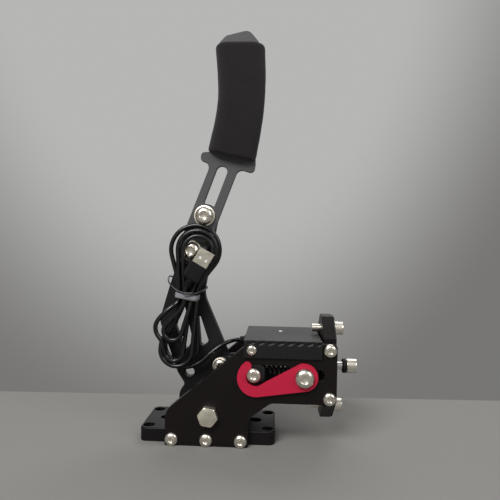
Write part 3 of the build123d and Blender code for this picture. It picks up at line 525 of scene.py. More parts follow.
# screws
screwSizes = {
    "m25": dict(shank=1.25, head=2.3, height=1.4),
    "m4": dict(shank=2.0, head=3.8, height=2.2, hexagon=2.5),
    "m5": dict(shank=2.5, head=4.75, height=2.75, hexagon=3.0),
    "m6": dict(shank=3.0, head=5.25, height=3.3, hexagon=4.0),
    "m8": dict(shank=4.0, head=7.0, height=4.4, hexagon=5.0),
    "m6Cap": dict(shank=3.0, head=5.0, height=6.0, hexagon=5.0),
}
nutSizes = {
    "m6": dict(across=10.0, height=6.0, bore=3.05),
    "m8": dict(across=13.0, height=8.0, bore=4.05),
}
washers = {
    # radius and bore's radius
    "pivot": (8.0, 4.25),
    "end": (5.5, 3.05),
    "arm": (8.0, 4.05),
    "link": (6.0, 3.05),
    "thickness": 1.6,
    "edge": 0.18,
}
button = {
    "sides": 56,
    # shares of the head's radius and height, from its foot to its flat top
    "dome": (
        (0.985, 0.06), (1.0, 0.1), (1.0, 0.22), (0.985, 0.36), (0.93, 0.56), (0.84, 0.72), (0.72, 0.86),
        (0.58, 0.95), (0.42, 1.0),
    ),
    "socketFloor": 0.56,
    # lower radius, upper radius and depth, as shares of the socket's corner radius
    "countersink": (0.9, 1.5, 0.6),
    "edge": 0.1,
}
knurled = {
    # knurls, how far they are drawn in, sides of the rims, and each rim's share of the radius, height and edge
    "cap": dict(knurls=48, groove=0.988, sides=64, foot=(0.975, 0.45, 0.0), top=(0.985, 0.75, 0.35)),
    "rod": dict(knurls=30, groove=0.983, sides=56, foot=(0.97, 0.85, 0.25), top=(0.97, 0.85, 0.3)),
    "overlap": 0.05,
}
capSocket = {"floor": 0.5, "rimDepth": 0.9, "rimSlack": 0.02}
rodNut = {"radius": 5.5, "length": 7.5, "bore": 3.05, "hexagon": 2.9, "hexagonDepth": 2.5, "overlap": 0.1}
pan = {
    "sides": 40,
    "edge": 0.5,
    # the cross: share of the head's radius, width and depth
    "cross": (1.1, 0.45, 1.4),
}
hexagonHead = {"turning": 0.45, "corner": 1.15, "edge": 0.12}
# the hexagon's top and the collar's foot are shares of the height
lockNut = {"hexagon": 0.78, "collarFoot": 0.72, "collarInset": 0.7, "edge": 0.35}


def raiseTop(piece, low, high, scale):
    # extrudes the top face from one level to the next and draws it in
    selectParts(
        piece, "FACE",
        lambda face: face.normal.z > limits["upright"] and abs(face.center.z - low * mm) < limits["level"],
    )
    bpy.ops.mesh.extrude_region_move(TRANSFORM_OT_translate={"value": (0, 0, (high - low) * mm)})
    bpy.ops.transform.resize(value=(scale, scale, 1))
    closeMesh()


def buttonScrew(size, length):
    # a domed head with a hexagon socket, on a plain shank
    values = screwSizes[size]
    head, height = values["head"], values["height"]
    (share, level), *steps = button["dome"]
    piece = cylinder(head * share, 0.0, height * level, button["sides"])
    for nextShare, nextLevel in steps:
        raiseTop(piece, height * level, height * nextLevel, nextShare / share)
        share, level = nextShare, nextLevel
    corner = values["hexagon"] / math.sqrt(3)
    cutOut(piece, cylinder(corner, height * button["socketFloor"], height + 1, 6))
    lower, upper, depth = (part * corner * mm for part in button["countersink"])
    deselect()
    bpy.ops.mesh.primitive_cone_add(
        vertices=40, radius1=lower, radius2=upper, depth=depth, location=(0, 0, height * mm),
    )
    cutOut(piece, settle(bpy.context.object))
    roundEdges(piece, button["edge"], angle=50)
    return smooth(joined([piece, cylinder(values["shank"], -length, 0.0, 32)]), 28)


def groovedBarrel(radius, low, high, grooves, depth):
    # a cylinder whose every second corner is drawn in a little
    piece = cylinder(radius, low, high, grooves * 2)
    selectParts(
        piece, "VERT",
        lambda vertex: round(math.atan2(vertex.co.y, vertex.co.x) / math.pi * grooves) % 2 == 0,
    )
    bpy.ops.transform.resize(value=(depth, depth, 1))
    closeMesh()
    return piece


def knurledParts(kind, radius, length):
    # a grooved barrel, and the plain rims under and over it
    values, overlap = knurled[kind], knurled["overlap"]
    footShare, footHeight, footEdge = values["foot"]
    topShare, topHeight, topEdge = values["top"]
    barrel = groovedBarrel(
        radius, footHeight - overlap, length - topHeight + overlap, values["knurls"], values["groove"],
    )
    foot = cylinder(radius * footShare, 0.0, footHeight, values["sides"])
    top = cylinder(radius * topShare, length - topHeight, length, values["sides"])
    if footEdge:
        roundEdges(foot, footEdge)
    roundEdges(top, topEdge, 3)
    return barrel, foot, top


def capScrew(size, length):
    # a tall round head with fine upright grooves round it
    values = screwSizes[size]
    height, corner = values["height"], values["hexagon"] / math.sqrt(3)
    barrel, foot, top = knurledParts("cap", values["head"], height)
    cutOut(top, cylinder(corner + capSocket["rimSlack"], height - capSocket["rimDepth"], height + 1, 6))
    cutOut(barrel, cylinder(corner, height * capSocket["floor"], height + 1, 6))
    return smooth(joined([barrel, top, foot, cylinder(values["shank"], -length, 0.0, 32)]), 24)


def knurledHead():
    # the nut on the rod's end, with a hexagon hole in its top
    length = rodNut["length"]
    hexagonFloor = length - rodNut["hexagonDepth"]
    barrel, foot, top = knurledParts("rod", rodNut["radius"], length)
    for part in (foot, barrel):
        cutOut(part, cylinder(rodNut["bore"], -1.0, hexagonFloor + rodNut["overlap"], 40))
    for part in (barrel, top):
        cutOut(part, cylinder(rodNut["hexagon"], hexagonFloor, length + 1.0, 6))
    return smooth(joined([barrel, foot, top]), 26)


def panScrew(size, length):
    # a low round head with a cross recess
    values = screwSizes[size]
    head, height = values["head"], values["height"]
    share, width, depth = pan["cross"]
    piece = cylinder(head, 0.0, height, pan["sides"])
    roundEdges(piece, pan["edge"], 4)
    for turn in (0, 90):
        cutOut(piece, block((head * share, width, depth), (0, 0, height), turn))
    return smooth(joined([piece, cylinder(values["shank"], -length, 0.0, 24)]), 30)


def hexagonBlock(across, height, bothEnds=False):
    # a hexagon whose corners are turned off at the top, or at both ends
    corner = across / math.sqrt(3)
    piece = cylinder(corner, 0.0, height, 6)
    turning = cylinder(corner + hexagonHead["turning"], 0.0 if bothEnds else -1.0, height, 64)
    upright = limits["upright"]
    selectParts(
        turning, "FACE", lambda face: abs(face.normal.z) > upright and (bothEnds or face.normal.z > 0),
    )
    bpy.ops.mesh.bevel(offset=hexagonHead["corner"] * mm, segments=1, affect="EDGES")
    closeMesh()
    cutOut(piece, turning, "INTERSECT")
    roundEdges(piece, hexagonHead["edge"], angle=24)
    return piece


def hexagonBolt(across, height, radius, length):
    return smooth(joined([hexagonBlock(across, height), cylinder(radius, -length, 0.0, 32)]), 22)


def nut(size):
    # a hexagon with a round collar
    across, height, bore = (nutSizes[size][key] for key in ("across", "height", "bore"))
    piece = hexagonBlock(across, height * lockNut["hexagon"], True)
    collar = cylinder(across / 2 - lockNut["collarInset"], height * lockNut["collarFoot"], height)
    roundEdges(collar, lockNut["edge"], 3)
    for part in (piece, collar):
        cutOut(part, cylinder(bore, -1, height + 1, 32))
    return smooth(joined([piece, collar]), 26)


def washer(kind):
    radius, bore = washers[kind]
    piece = cylinder(radius, 0.0, washers["thickness"], 56)
    cutOut(piece, cylinder(bore, -1, washers["thickness"] + 1))
    roundEdges(piece, washers["edge"])
    return smooth(piece, 30)


sideScrews = {
    # pairs in both sides: size, length, the seat's Y, and each pair's X, Z and turns of its near and far head
    "foot_screws": ("m5", 15.5, 31.0, ((-25.0, 4.7, 17.0, 9.0), (0.0, 4.7, 40.0, 9.0), (25.0, 4.7, 63.0, 9.0))),
    "end_screws": ("m5", 15.5, 31.0, ((88.2, 37.2, 31.0, 12.0), (88.2, 71.6, 11.0, 12.0))),
    "cover_screws": ("m4", 9.8, 33.0, ((32.1, 71.0, 8.0, 21.0),)),
}
housing = {
    "outer": 31.0,
    "pivot": (1.5, 22.5),
    # the head's width over its flats and height, and the shank's radius and length
    "pivotBolt": (13.0, 5.3, 4.0, 72.9),
    "rodZ": 54.305,
    "hookPivot": (70.0, 52.5),
    "hookFace": 34.6,
    "hookNutSeat": -25.0,
    "latch": (34.0, 53.6),
    "stopFace": 93.5,
    "endBolts": (24.0, 83.2),
    "rodHead": 104.4,
    "boardSeat": 72.6,
    "boardScrews": ((41.5, -12.5), (41.5, 12.5), (72.5, -12.5), (72.5, 12.5)),
}
lever = {
    "armBolts": ((-16.6, 141.0), (-6.784, 167.969)),
    "link": (7.625, 54.01),
    "half": 4.0,
    "front": -9.0,
    "linkSeat": 8.6,
}
# lengths under the head, and degrees by which heads and nuts are turned
lengths = {
    "hook_bolt": 18.4, "end_bolts": 17.8, "arm_bolts": 25.5, "link_bolt": 27.2, "latch": 0.5, "guide": 11.0,
    "board_screws": 3.6,
}
spins = {
    "hook_bolt": 14.0, "hook_nut": 20.0, "pivot_bolt": 21.0, "pivot_nut": 11.0, "end_bolts": 10.0,
    "arm_bolts": 16.0, "arm_nuts": 8.0, "link_bolt": 25.0, "latch": 40.0, "guide": 12.0, "board_screws": 15.0,
}
pins = {
    # radius, foot, top and sides
    "neck": (2.0, 0.0, 3.95, 32),
    "stem": (3.0, 0.0, 11.0, 32),
    "sunk": 0.3,
}


def screwed(model, node, places, finish="brightScrew", body="housing"):
    # copies of a screw, nut or washer as one piece, each at a place with a direction
    spin = spins.get(node, 0.0)
    hand(repeated(model, [facing(*place, spin) for place in places]), node, body, finish)


def makeSideScrews():
    for node, (size, length, seat, spots) in sideScrews.items():
        places = []
        for x, z, nearSpin, farSpin in spots:
            places += [facing(x, -seat, z, near, nearSpin), facing(x, seat, z, far, farSpin)]
        hand(repeated(buttonScrew(size, length), places), node, "housing", "brightScrew")


def makeHousingScrews():
    outer, thick = housing["outer"], washers["thickness"]
    x, z = housing["hookPivot"]
    bolt = buttonScrew("m8", lengths["hook_bolt"])
    screwed(bolt, "hook_bolt", [(x, -housing["hookFace"], z, near)])
    screwed(nut("m8"), "hook_nut", [(x, housing["hookNutSeat"], z, far)], "boltSteel")
    x, z = housing["pivot"]
    bolt = hexagonBolt(*housing["pivotBolt"])
    screwed(bolt, "pivot_bolt", [(x, -outer, z, near)], "boltSteel")
    screwed(washer("pivot"), "pivot_washer", [(x, outer, z, far)], "boltSteel")
    screwed(nut("m8"), "pivot_nut", [(x, outer + thick, z, far)], "boltSteel")
    face = housing["stopFace"]
    places = [(face + thick, 0, z, right) for z in housing["endBolts"]]
    screwed(capScrew("m6Cap", lengths["end_bolts"]), "end_bolts", places)
    places = [(face, 0, z, right) for z in housing["endBolts"]]
    screwed(washer("end"), "end_washers", places, "boltSteel")


def makeLeverScrews():
    bolts, thick = lever["armBolts"], washers["thickness"]
    front, back = lever["front"], lever["half"]
    places = [(x, front - thick, z, near) for x, z in bolts]
    screwed(buttonScrew("m8", lengths["arm_bolts"]), "arm_bolts", places, body="lever")
    places = [(x, front, z, near) for x, z in bolts] + [(x, back, z, far) for x, z in bolts]
    screwed(washer("arm"), "arm_washers", places, "boltSteel", "lever")
    places = [(x, back + thick, z, far) for x, z in bolts]
    screwed(nut("m8"), "arm_nuts", places, "boltSteel", "lever")
    x, z = lever["link"]
    seat = lever["linkSeat"]
    bolt = buttonScrew("m6", lengths["link_bolt"])
    screwed(bolt, "link_bolt", [(x, -seat - thick, z, near)], body="lever")
    places = [(x, -seat, z, near), (x, seat, z, far)]
    screwed(washer("link"), "link_washers", places, "boltSteel", "lever")
    screwed(nut("m6"), "link_nut", [(x, seat + thick, z, far)], "boltSteel", "lever")


def makePins():
    # the latch pin that the hook holds, and the far side's guide, both on the carriage
    x, z = housing["latch"]
    face, seat = housing["hookFace"], housing["outer"] - pins["sunk"]
    parts = [
        (buttonScrew("m6", lengths["latch"]), facing(x, -face, z, near, spins["latch"])),
        (cylinder(*pins["neck"]), facing(x, -face, z, far)),
        (cylinder(*pins["stem"]), facing(x, -seat, z, far)),
        (buttonScrew("m6", lengths["guide"]), facing(x, seat, z, far, spins["guide"])),
    ]
    piece = joined([repeated(model, [place]) for model, place in parts])
    hand(piece, "mode_pins", "carriage", "brightScrew")


def makeScrews():
    makeSideScrews()
    makeHousingScrews()
    makeLeverScrews()
    makePins()
    places = [(x, y, housing["boardSeat"], down) for x, y in housing["boardScrews"]]
    screw = panScrew("m25", lengths["board_screws"])
    screwed(screw, "board_screws", places, "boltSteel")
    place = (housing["rodHead"], 0, housing["rodZ"], right)
    screwed(knurledHead(), "rod_head", [place], body="rod")
    print("screws made")


makeScrews()


# plates, turned pieces and other hard pieces that keep the solid's shape
solids = {
    # node: body, finish, edge width, and the piece's name where it isn't the node's
    "base_block": ("housing", "baseMetal", 0.35),
    "near_side_plate": ("housing", "blackPlate", 0.4),
    "far_side_plate": ("housing", "blackPlate", 0.4),
    "lower_arm": ("lever", "armMetal", 0.45),
    "upper_arm": ("lever", "upperArmMetal", 0.4),
    "hook": ("hook", "redCoat", 0.3),
    "end_plate": ("housing", "blackPlate", 0.5),
    "backing_plate": ("housing", "backingSheet", 0.3),
    "cover": ("housing", "coverMetal", 0.12),
    "pull_fork": ("rod", "armMetal", 0.35),
    "carriage": ("carriage", "carriagePlastic", 0.35, "carriageBlock"),
    "cross_brace": ("housing", "spacerMetal", 0.3),
    "pivot_sleeve": ("housing", "groundSteel", 0.15),
    "pivot_spacers": ("housing", "spacerMetal", 0.3),
    "pivot_bushes": ("lever", "bushBronze", 0.15),
    "pull_rod": ("rod", "groundSteel", 0.2),
    "bump_ring": ("rod", "stopRubber", 0.12),
    "rod_bush": ("housing", "bushBronze", 0.15),
    "thrust_collar": ("rod", "spacerMetal", 0.25),
    "sensor_magnet": ("rod", "magnetMetal", 0.15),
    "hook_bush": ("housing", "bushBronze", 0.12),
    "sensor_board": ("housing", "boardCoat", 0.08),
    "board_posts": ("housing", "chipPlastic", 0.1),
    "travel_sensor": ("housing", "chipPlastic", 0.1),
    "status_light": ("housing", "clearLens", 0.2),
    "cable_gland": ("housing", "stopRubber", 0.25),
    "plug_overmould": ("lever", "plugPlastic", 0.2),
    "plug_shell": ("lever", "plugMetal", 0.07),
    "plug_tongue": ("lever", "tonguePlastic", 0.1),
}
# from this width on, an edge is rounded in three steps
wideEdge = 0.35


def makeSolids():
    pieces = {}
    for node, (body, finish, edge, *name) in solids.items():
        piece = copyNode(node)
        roundEdges(piece, edge, 3 if edge >= wideEdge else 2)
        smooth(piece, 30)
        applyModifier(piece, "WEIGHTED_NORMAL", keep_sharp=True)
        pieces[node] = hand(piece, node, body, finish, *name)
    print("solids dressed", len(pieces))
    return pieces


made = makeSolids()

plug = {
    "foot": (-17.4, -21.6, 114.8),
    "lean": 30.0,
    # the pale body inside the shell: across the plug, through it and along it
    "body": ((-5.15, 5.15), (-1.7, 0.1), (19.5, 26.0)),
    "bodyEdge": 0.1,
}


def fillPlug():
    # a body behind the shell's two windows, joined to the tongue
    size = [high - low for low, high in plug["body"]]
    body = block(size, [(low + high) / 2 for low, high in plug["body"]])
    roundEdges(body, plug["bodyEdge"])
    placed(body, moved(*plug["foot"]) @ turned(plug["lean"], "Y"))
    dress(body, "tonguePlastic")
    joined([made["plug_tongue"], body])


fillPlug()


# cords
cord = {
    "radius": 1.7,
    "gland": (21.7, 0.0, 72.3),
    "leadRoute": [
        (14.6, -4.4, 72.0), (8.4, -8.4, 69.6), (0.6, -10.4, 64.0), (-6.6, -11.2, 56.8), (-11.4, -11.2, 54.2),
    ],
    "leadEndRun": 3.8,
    # the waist, where the band holds all strands
    "waistX": -18.4,
    "waistZ": 106.4,
    "waistHalf": 5.5,
    "rearY": -11.2,
    "frontY": -15.4,
    "lastY": -19.8,
    "pitch": 3.75,
    # each loop: X and Z of its middle, and its radius
    "rearUpper": (-13.1, 141.8, 18.6),
    "rearUpperInner": (-12.2, 142.6, 14.3),
    "frontUpper": (-11.1, 141.6, 14.7),
    "frontUpperInner": (-10.4, 141.0, 11.3),
    "overBoltY": -17.0,
    "rearLower": (-24.0, 66.7, 14.4),
    "rearLowerInner": (-22.2, 68.7, 12.6),
    "frontLower": (-25.6, 65.7, 12.0),
    "frontLowerInner": (-27.3, 64.6, 6.9),
    "bulge": [(-35.2, -19.7, 72.8), (-40.9, -19.8, 79.5), (-40.7, -19.8, 87.9), (-30.7, -19.0, 97.8)],
    "bulgeEnd": 1.0,
    "lastLower": (-27.7, 81.0, 6.9),
    "ringCorners": 5,
    "plugRun": 5.0,
}


def arcCorners(x, z, radius, start, end, startY, endY):
    # corners of a polygon whose sides touch the loop; the first and last keep the straight parts straight
    count = cord["ringCorners"]
    step = (end - start) / count
    reach = radius / math.cos(math.radians(step / 2))
    corners = []
    for place in range(-1, count + 1):
        angle = math.radians(start + step * (place + 0.5))
        y = startY + (endY - startY) * min(max((place + 0.5) / count, 0), 1)
        corners.append((x + reach * math.cos(angle), y, z + reach * math.sin(angle)))
    for at, inner, angle in ((0, 1, start), (-1, -2, end)):
        turn = math.radians(angle)
        touchX, touchZ = x + radius * math.cos(turn), z + radius * math.sin(turn)
        corners[at] = (2 * touchX - corners[inner][0], corners[at][1], 2 * touchZ - corners[inner][2])
    return corners


def touchAngle(ringPlace, point, side):
    # where on the loop the line from a point touches it
    x, z, radius = ringPlace
    away = math.degrees(math.atan2(point[1] - z, point[0] - x))
    spread = math.degrees(math.acos(radius / math.hypot(point[0] - x, point[1] - z)))
    return away - side * spread


def ringPoints(ringPlace, enter, leave, firstY=None):
    # from the waist round one loop and back, clockwise as the camera sees it
    side = 1 if ringPlace[1] > cord["waistZ"] else -1
    edge = cord["waistZ"] + side * cord["waistHalf"]
    start = touchAngle(ringPlace, (enter[0], edge), 1)
    end = touchAngle(ringPlace, (leave[0], edge), -1)
    while end > start - 180:
        end -= 360
    corners = arcCorners(*ringPlace, start, end, firstY or leave[1], leave[1])
    return [(enter[0], enter[1], edge)] + corners + [(leave[0], leave[1], edge)]


def hankRoute():
    # two loops in at the rear, two out in front of them, and the way up to the plug
    x, pitch = cord["waistX"], cord["pitch"]
    rear, front, last = cord["rearY"], cord["frontY"], cord["lastY"]
    farLeft, nearLeft, nearRight, farRight = (x + step * pitch for step in (-1.5, -0.5, 0.5, 1.5))
    frontNear, frontFar = x + pitch, x + 2 * pitch
    foot = cord["waistZ"] - cord["waistHalf"]
    lower = cord["rearLower"]
    end = touchAngle(lower, (farLeft, foot), -1) - 360
    route = [(lower[0] + 2 * cord["radius"], rear, lower[1] - lower[2])]
    route += arcCorners(*lower, -90, end, rear, rear)[1:]
    route.append((farLeft, rear, foot))
    route += ringPoints(cord["rearUpper"], (farLeft, rear), (farRight, rear))
    route += ringPoints(cord["rearLowerInner"], (farRight, rear), (nearLeft, rear))
    route += ringPoints(cord["rearUpperInner"], (nearLeft, rear), (nearRight, rear))
    route += ringPoints(cord["frontLowerInner"], (nearRight, rear), (farLeft, front))[:-2]
    route += cord["bulge"] + [(farLeft, front, foot + cord["bulgeEnd"])]
    route += ringPoints(cord["frontUpper"], (farLeft, front), (frontFar, front))
    route += ringPoints(cord["frontLower"], (frontFar, front), (nearLeft, front))
    route += ringPoints(cord["frontUpperInner"], (nearLeft, front), (frontNear, front), cord["overBoltY"])
    route += ringPoints(cord["lastLower"], (frontNear, last), (x, last))
    lean = math.radians(plug["lean"])
    plugFoot = Vector(plug["foot"])
    axis = Vector((math.sin(lean), 0, math.cos(lean)))
    return route + [tuple(plugFoot - axis * cord["plugRun"]), tuple(plugFoot)]


def leadRoute():
    start = cord["gland"]
    end = hankRoute()[0]
    first = (start[0] - 2 * cord["radius"], start[1], start[2])
    last = (end[0] + cord["leadEndRun"], end[1], end[2])
    return [start, first] + cord["leadRoute"] + [last, end]


def smoothLine(name, points, radius=None, sides=5):
    # one open smooth line through its control points, thick where it has a radius
    data = bpy.data.curves.new(name, "CURVE")
    data.dimensions = "3D"
    spline = data.splines.new("NURBS")
    spline.points.add(len(points) - 1)
    for point, place in zip(spline.points, points):
        point.co = (*(value * mm for value in place), 1.0)
    spline.order_u = 3
    spline.use_endpoint_u = True
    data.resolution_u = 8
    if radius:
        data.bevel_depth = radius * mm
        data.bevel_resolution = sides
        data.use_fill_caps = True
    return newObject(name, data)


def lineMesh(line):
    # the mesh of a thick line
    pick(line)
    bpy.ops.object.convert(target="MESH")
    piece = bpy.context.object
    weld(piece)
    return smooth(piece, 60)


def pathOf(points):
    # the middle of the line, as points in the scene
    bare = smoothLine("bareLine", points)
    bpy.context.view_layer.update()
    mesh = bpy.data.meshes.new_from_object(bare.evaluated_get(bpy.context.evaluated_depsgraph_get()))
    path = [vertex.co.copy() for vertex in mesh.vertices]
    bpy.data.meshes.remove(mesh)
    bpy.data.objects.remove(bare)
    return path


def lengthOf(points):
    return sum((after - before).length for before, after in zip(points, points[1:]))


band = {
    "middle": (-17.6, -16.2, 106.9),
    "size": (16.9, 14.0, 4.4),
    "corner": 3.4,
    "cornerSteps": 7,
    "skin": 0.42,
    "edge": 0.09,
    "softness": 0.3,
    # each turn of tape: how much wider and higher than the size it is, how far up it sits, and its tilt
    "turns": ((-0.9, 0.0, 0.0, 9.5), (0.0, -0.5, 0.35, 7.6)),
    # an edge longer than this is one of the four upright ones
    "upright": 0.001,
}


def bandLayer(wider, higher, lift, tilt):
    # one turn of flat tape: a rounded box without its ends, with a wall
    wide, deep, height = band["size"]
    layer = block((wide + wider, deep + wider, height + higher))
    selectParts(layer, "FACE", lambda face: abs(face.normal.z) > limits["upright"])
    bpy.ops.mesh.delete(type="ONLY_FACE")

    def isUpright(edge):
        first, second = (layer.data.vertices[index].co for index in edge.vertices)
        return abs(first.z - second.z) > band["upright"]

    selectParts(layer, "EDGE", isUpright)
    bpy.ops.mesh.bevel(offset=band["corner"] * mm, segments=band["cornerSteps"], affect="EDGES")
    bpy.ops.mesh.select_all(action="SELECT")
    bpy.ops.mesh.subdivide(number_cuts=2)
    bpy.ops.mesh.vertices_smooth(factor=band["softness"], repeat=2)
    closeMesh()
    applyModifier(layer, "SOLIDIFY", thickness=band["skin"] * mm, offset=1.0)
    roundEdges(layer, band["edge"], angle=60)
    x, y, z = band["middle"]
    return placed(layer, moved(x, y, z + lift) @ turned(tilt, "Y"))


def makeBand():
    # tape wound twice round the waist of the loops
    piece = smooth(joined([bandLayer(*values) for values in band["turns"]]), 40)
    return hand(piece, "cable_band", "lever", "bandTape")


strap = {
    "radius": 0.6,
    "sides": 4,
    "route": [
        (-13.0, -24.2, 109.9), (-20.5, -24.3, 109.8), (-26.2, -23.4, 112.7), (-32.0, -19.0, 117.4),
        (-33.6, -9.0, 121.4), (-33.4, 0.0, 120.8), (-31.0, 5.2, 118.4), (-18.0, 5.2, 114.8),
        (-6.2, 5.2, 112.9), (-4.6, 0.0, 112.4), (-4.6, -9.0, 112.2), (-5.2, -18.5, 111.5),
        (-9.5, -23.6, 109.8), (-14.5, -25.6, 109.1), (-19.5, -25.7, 109.3),
    ],
}


def makeStrap():
    # a coated wire tie, twice round at the front where its ends lie side by side
    piece = lineMesh(smoothLine("armStrap", strap["route"], strap["radius"], strap["sides"]))
    return hand(piece, "arm_strap", "lever", "tiePlastic")


def layCord(piece, line, farEnd, lay, pieces, **values):
    return round(lengthOf(line), 4)


def makeRun():
    # the free stretch bends between the housing and the lever
    path = pathOf(leadRoute())
    run = lineMesh(smoothLine("leadRun", leadRoute(), cord["radius"]))
    run.name = "leadRun"
    dress(run, "cordJacket")
    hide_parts("lead_run")
    length = layCord(run, path, "object", "taut", [made["cable_gland"]], path=path)
    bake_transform(run)
    return length


def makeHank():
    # the tied loops ride with the lever
    path = pathOf(hankRoute())
    hank = smoothLine("leadHank", hankRoute(), cord["radius"])
    hand(hank, "lead_hank", "lever", "cordJacket")
    pieces = [makeBand(), makeStrap(), made["plug_overmould"], made["plug_shell"], made["plug_tongue"]]
    return layCord(hank, path, "plug", "coiled", pieces)


def makeCords():
    runLength, hankLength = makeRun(), makeHank()
    print("cords made", runLength, hankLength)


makeCords()


# springs
springs = {
    "wire": 2.0,
    "wireSides": 14,
    "reach": 6.6,
    "steps": 40,
    "spin": 35.0,
    # name: node, both ends, turns, and the joint that squashes it, where it stays put and the share left
    "coils": {
        "mainSpringLeft": ("main_spring", 42.3, 51.26, 2.0, ("carriage_slide", 50.26, 0.372)),
        "mainSpringRight": ("main_spring", 49.26, 61.7, 3.0, ("rod_slide", 50.26, 0.367)),
        "returnSpring": ("return_spring", 68.3, 83.9, 3.6, None),
    },
}


def makeSpring(name, node, left, end, turns, squashed):
    # a ring of wire wound up by a screw modifier
    radius, steps = springs["wire"] / 2, round(springs["steps"] * turns)
    deselect()
    bpy.ops.mesh.primitive_circle_add(
        vertices=springs["wireSides"], radius=radius * mm, location=(springs["reach"] * mm, 0, 0),
        rotation=(math.radians(90), 0, 0),
    )
    piece = settle(bpy.context.object)
    applyModifier(
        piece, "SCREW", angle=math.radians(360 * turns), screw_offset=(end - left - 2 * radius) * mm,
        steps=steps, render_steps=steps, use_merge_vertices=False,
    )
    openMesh(piece)
    bpy.ops.mesh.fill_holes(sides=springs["wireSides"])
    bpy.ops.mesh.select_all(action="SELECT")
    bpy.ops.mesh.normals_make_consistent(inside=False)
    closeMesh()
    piece = repeated(piece, [facing(left + radius, 0, housing["rodZ"], right, springs["spin"])])
    hand(smooth(piece, 50), node, "housing", "springWire", name)
    if squashed:
        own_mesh(piece)


def makeSprings():
    for name, values in springs["coils"].items():
        makeSpring(name, *values)
    print("springs wound")


makeSprings()


# grip
grip = {
    "voxel": 0.9,
    "softness": 0.5,
    "rounds": 6,
    "swell": 0.35,
    "lumps": 0.16,
    "lumpSize": 9.0,
    "fill": 0.9,
}


def makeGrip():
    # foam is made from the solid: remeshed, softened at its rims and a little uneven
    piece = copyNode("grip_sleeve")
    applyModifier(piece, "REMESH", mode="VOXEL", voxel_size=grip["voxel"] * mm, adaptivity=0.0)
    applyModifier(piece, "SMOOTH", factor=grip["softness"], iterations=grip["rounds"])
    applyModifier(piece, "DISPLACE", strength=grip["swell"] * mm, mid_level=0.0)
    clouds = bpy.data.textures.new("gripLumps", "CLOUDS")
    clouds.noise_scale = grip["lumpSize"] * mm
    lumps = 2 * grip["lumps"] * mm
    applyModifier(piece, "DISPLACE", texture=clouds, texture_coords="LOCAL", strength=lumps, mid_level=0.5)
    pick(piece)
    bpy.ops.object.shade_smooth()
    hand(piece, "grip_sleeve", "lever", "gripFoam")
    print("grip made", len(piece.data.polygons))


makeGrip()


# floor, backdrop and light
stage = {
    "floor": toLinear(134, 132, 128),
    "width": 5.0,
    "depth": 2.0,
    # where the floor meets the backdrop, and how far that line is turned
    "wallLine": (0.0264, 0.0953),
    "wallTurn": 2.67,
    "bright": (0.471, 0.471, 0.465, 1.0),
    "dim": (0.185, 0.181, 0.176, 1.0),
    # the place on the wall that is brightest, how far across and up count, and where the fall begins and ends
    "brightest": (-0.119, 0.862, 0.491),
    "shares": (1.07, 0.1, 0.798),
    "reach": (0.345, 0.7),
    "ambient": (0.24, 0.245, 0.25, 1.0),
}


def floorPaint():
    shader = Shader("floorPaint")
    broad = shader.noise(scale=3.0, detail=2.0)
    fine = shader.noise(scale=420.0, roughness=0.6)
    colour = stage["floor"]
    tone = shader.tinted(colour, broad, 0.6, scaled(colour, 0.92))
    tone = shader.tinted(tone, fine, 0.5, scaled(colour, 0.9))
    return shader.finish(Base_Color=tone, Roughness=0.8, Specular_IOR_Level=0.2)


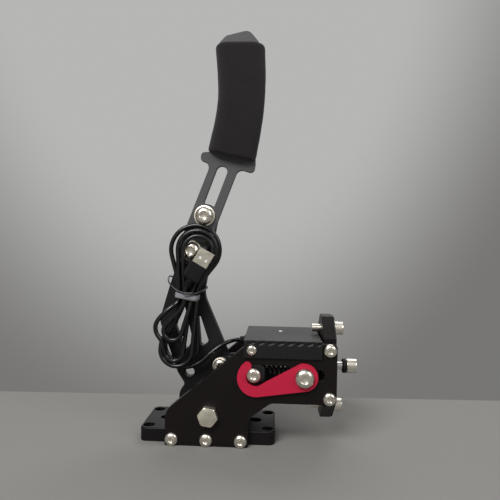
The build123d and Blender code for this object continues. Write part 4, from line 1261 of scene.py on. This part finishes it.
def makeWorld():
    # a wall that is brightest at one place is seen and mirrored, and an even light falls on the rest
    world = bpy.data.worlds.new("world")
    bpy.context.scene.world = world
    world.use_nodes = True
    world.node_tree.nodes.clear()
    nodes = Nodes(world.node_tree)
    shares = stage["shares"]
    place = nodes.add("ShaderNodeTexCoord").outputs["Generated"]
    spread = nodes.worked("ShaderNodeVectorMath", "MULTIPLY", place, shares)
    brightest = [a * b for a, b in zip(stage["brightest"], shares)]
    away = nodes.worked("ShaderNodeVectorMath", "DISTANCE", spread.outputs["Vector"], brightest)
    fall = nodes.ranged(
        away.outputs["Value"], 0.0, 1.0, *stage["reach"], interpolation_type="SMOOTHSTEP",
    )
    seen = nodes.add("ShaderNodeBackground")
    nodes.join(nodes.mixed(fall, stage["bright"], stage["dim"]), seen.inputs["Color"])
    lit = nodes.add("ShaderNodeBackground", Color=stage["ambient"])
    rays = nodes.add("ShaderNodeLightPath").outputs
    straight = nodes.worked(
        "ShaderNodeMath", "ADD", rays["Is Camera Ray"], rays["Is Transmission Ray"], use_clamp=True,
    )
    every = nodes.worked("ShaderNodeMath", "ADD", straight.outputs[0], rays["Is Glossy Ray"], use_clamp=True)
    mix, out = nodes.add("ShaderNodeMixShader"), nodes.add("ShaderNodeOutputWorld")
    for node, socket in zip((every, lit, seen), mix.inputs):
        nodes.join(node.outputs[0], socket)
    nodes.join(mix.outputs[0], out.inputs[0])


def makeStage():
    depth = stage["depth"]
    deselect()
    bpy.ops.mesh.primitive_plane_add(size=1)
    floor = bpy.context.object
    floor.scale = (stage["width"], depth, 1)
    settle(floor)
    corner = Matrix.Translation((*stage["wallLine"], 0)) @ turned(stage["wallTurn"], "Z")
    placed(floor, corner @ Matrix.Translation((0, -depth / 2, 0)))
    floor.name = "floor"
    floor.data.materials.append(floorPaint())
    makeWorld()


lampAim = (0.02, 0, 0.12)
lamps = {
    # name: place, width, height, watts
    "key": ((-0.6, -1.3, 1.4), 1.0, 0.7, 34.0),
    "fill": ((0.95, -0.7, 0.75), 0.6, 0.6, 4.5),
    "rear": ((0.2, 0.8, 1.0), 0.9, 0.5, 5.5),
}


def makeLamps():
    for name, (place, width, height, watts) in lamps.items():
        data = bpy.data.lights.new(name, "AREA")
        data.shape = "RECTANGLE"
        data.size, data.size_y, data.energy = width, height, watts
        lamp = newObject(name, data)
        direction = Vector(lampAim) - Vector(place)
        turn = direction.to_track_quat("-Z", "Y").to_matrix().to_4x4()
        lamp.matrix_world = Matrix.Translation(Vector(place)) @ turn


makeStage()
makeLamps()
bpy.context.scene.view_settings.view_transform = "Standard"
print("stage lit")
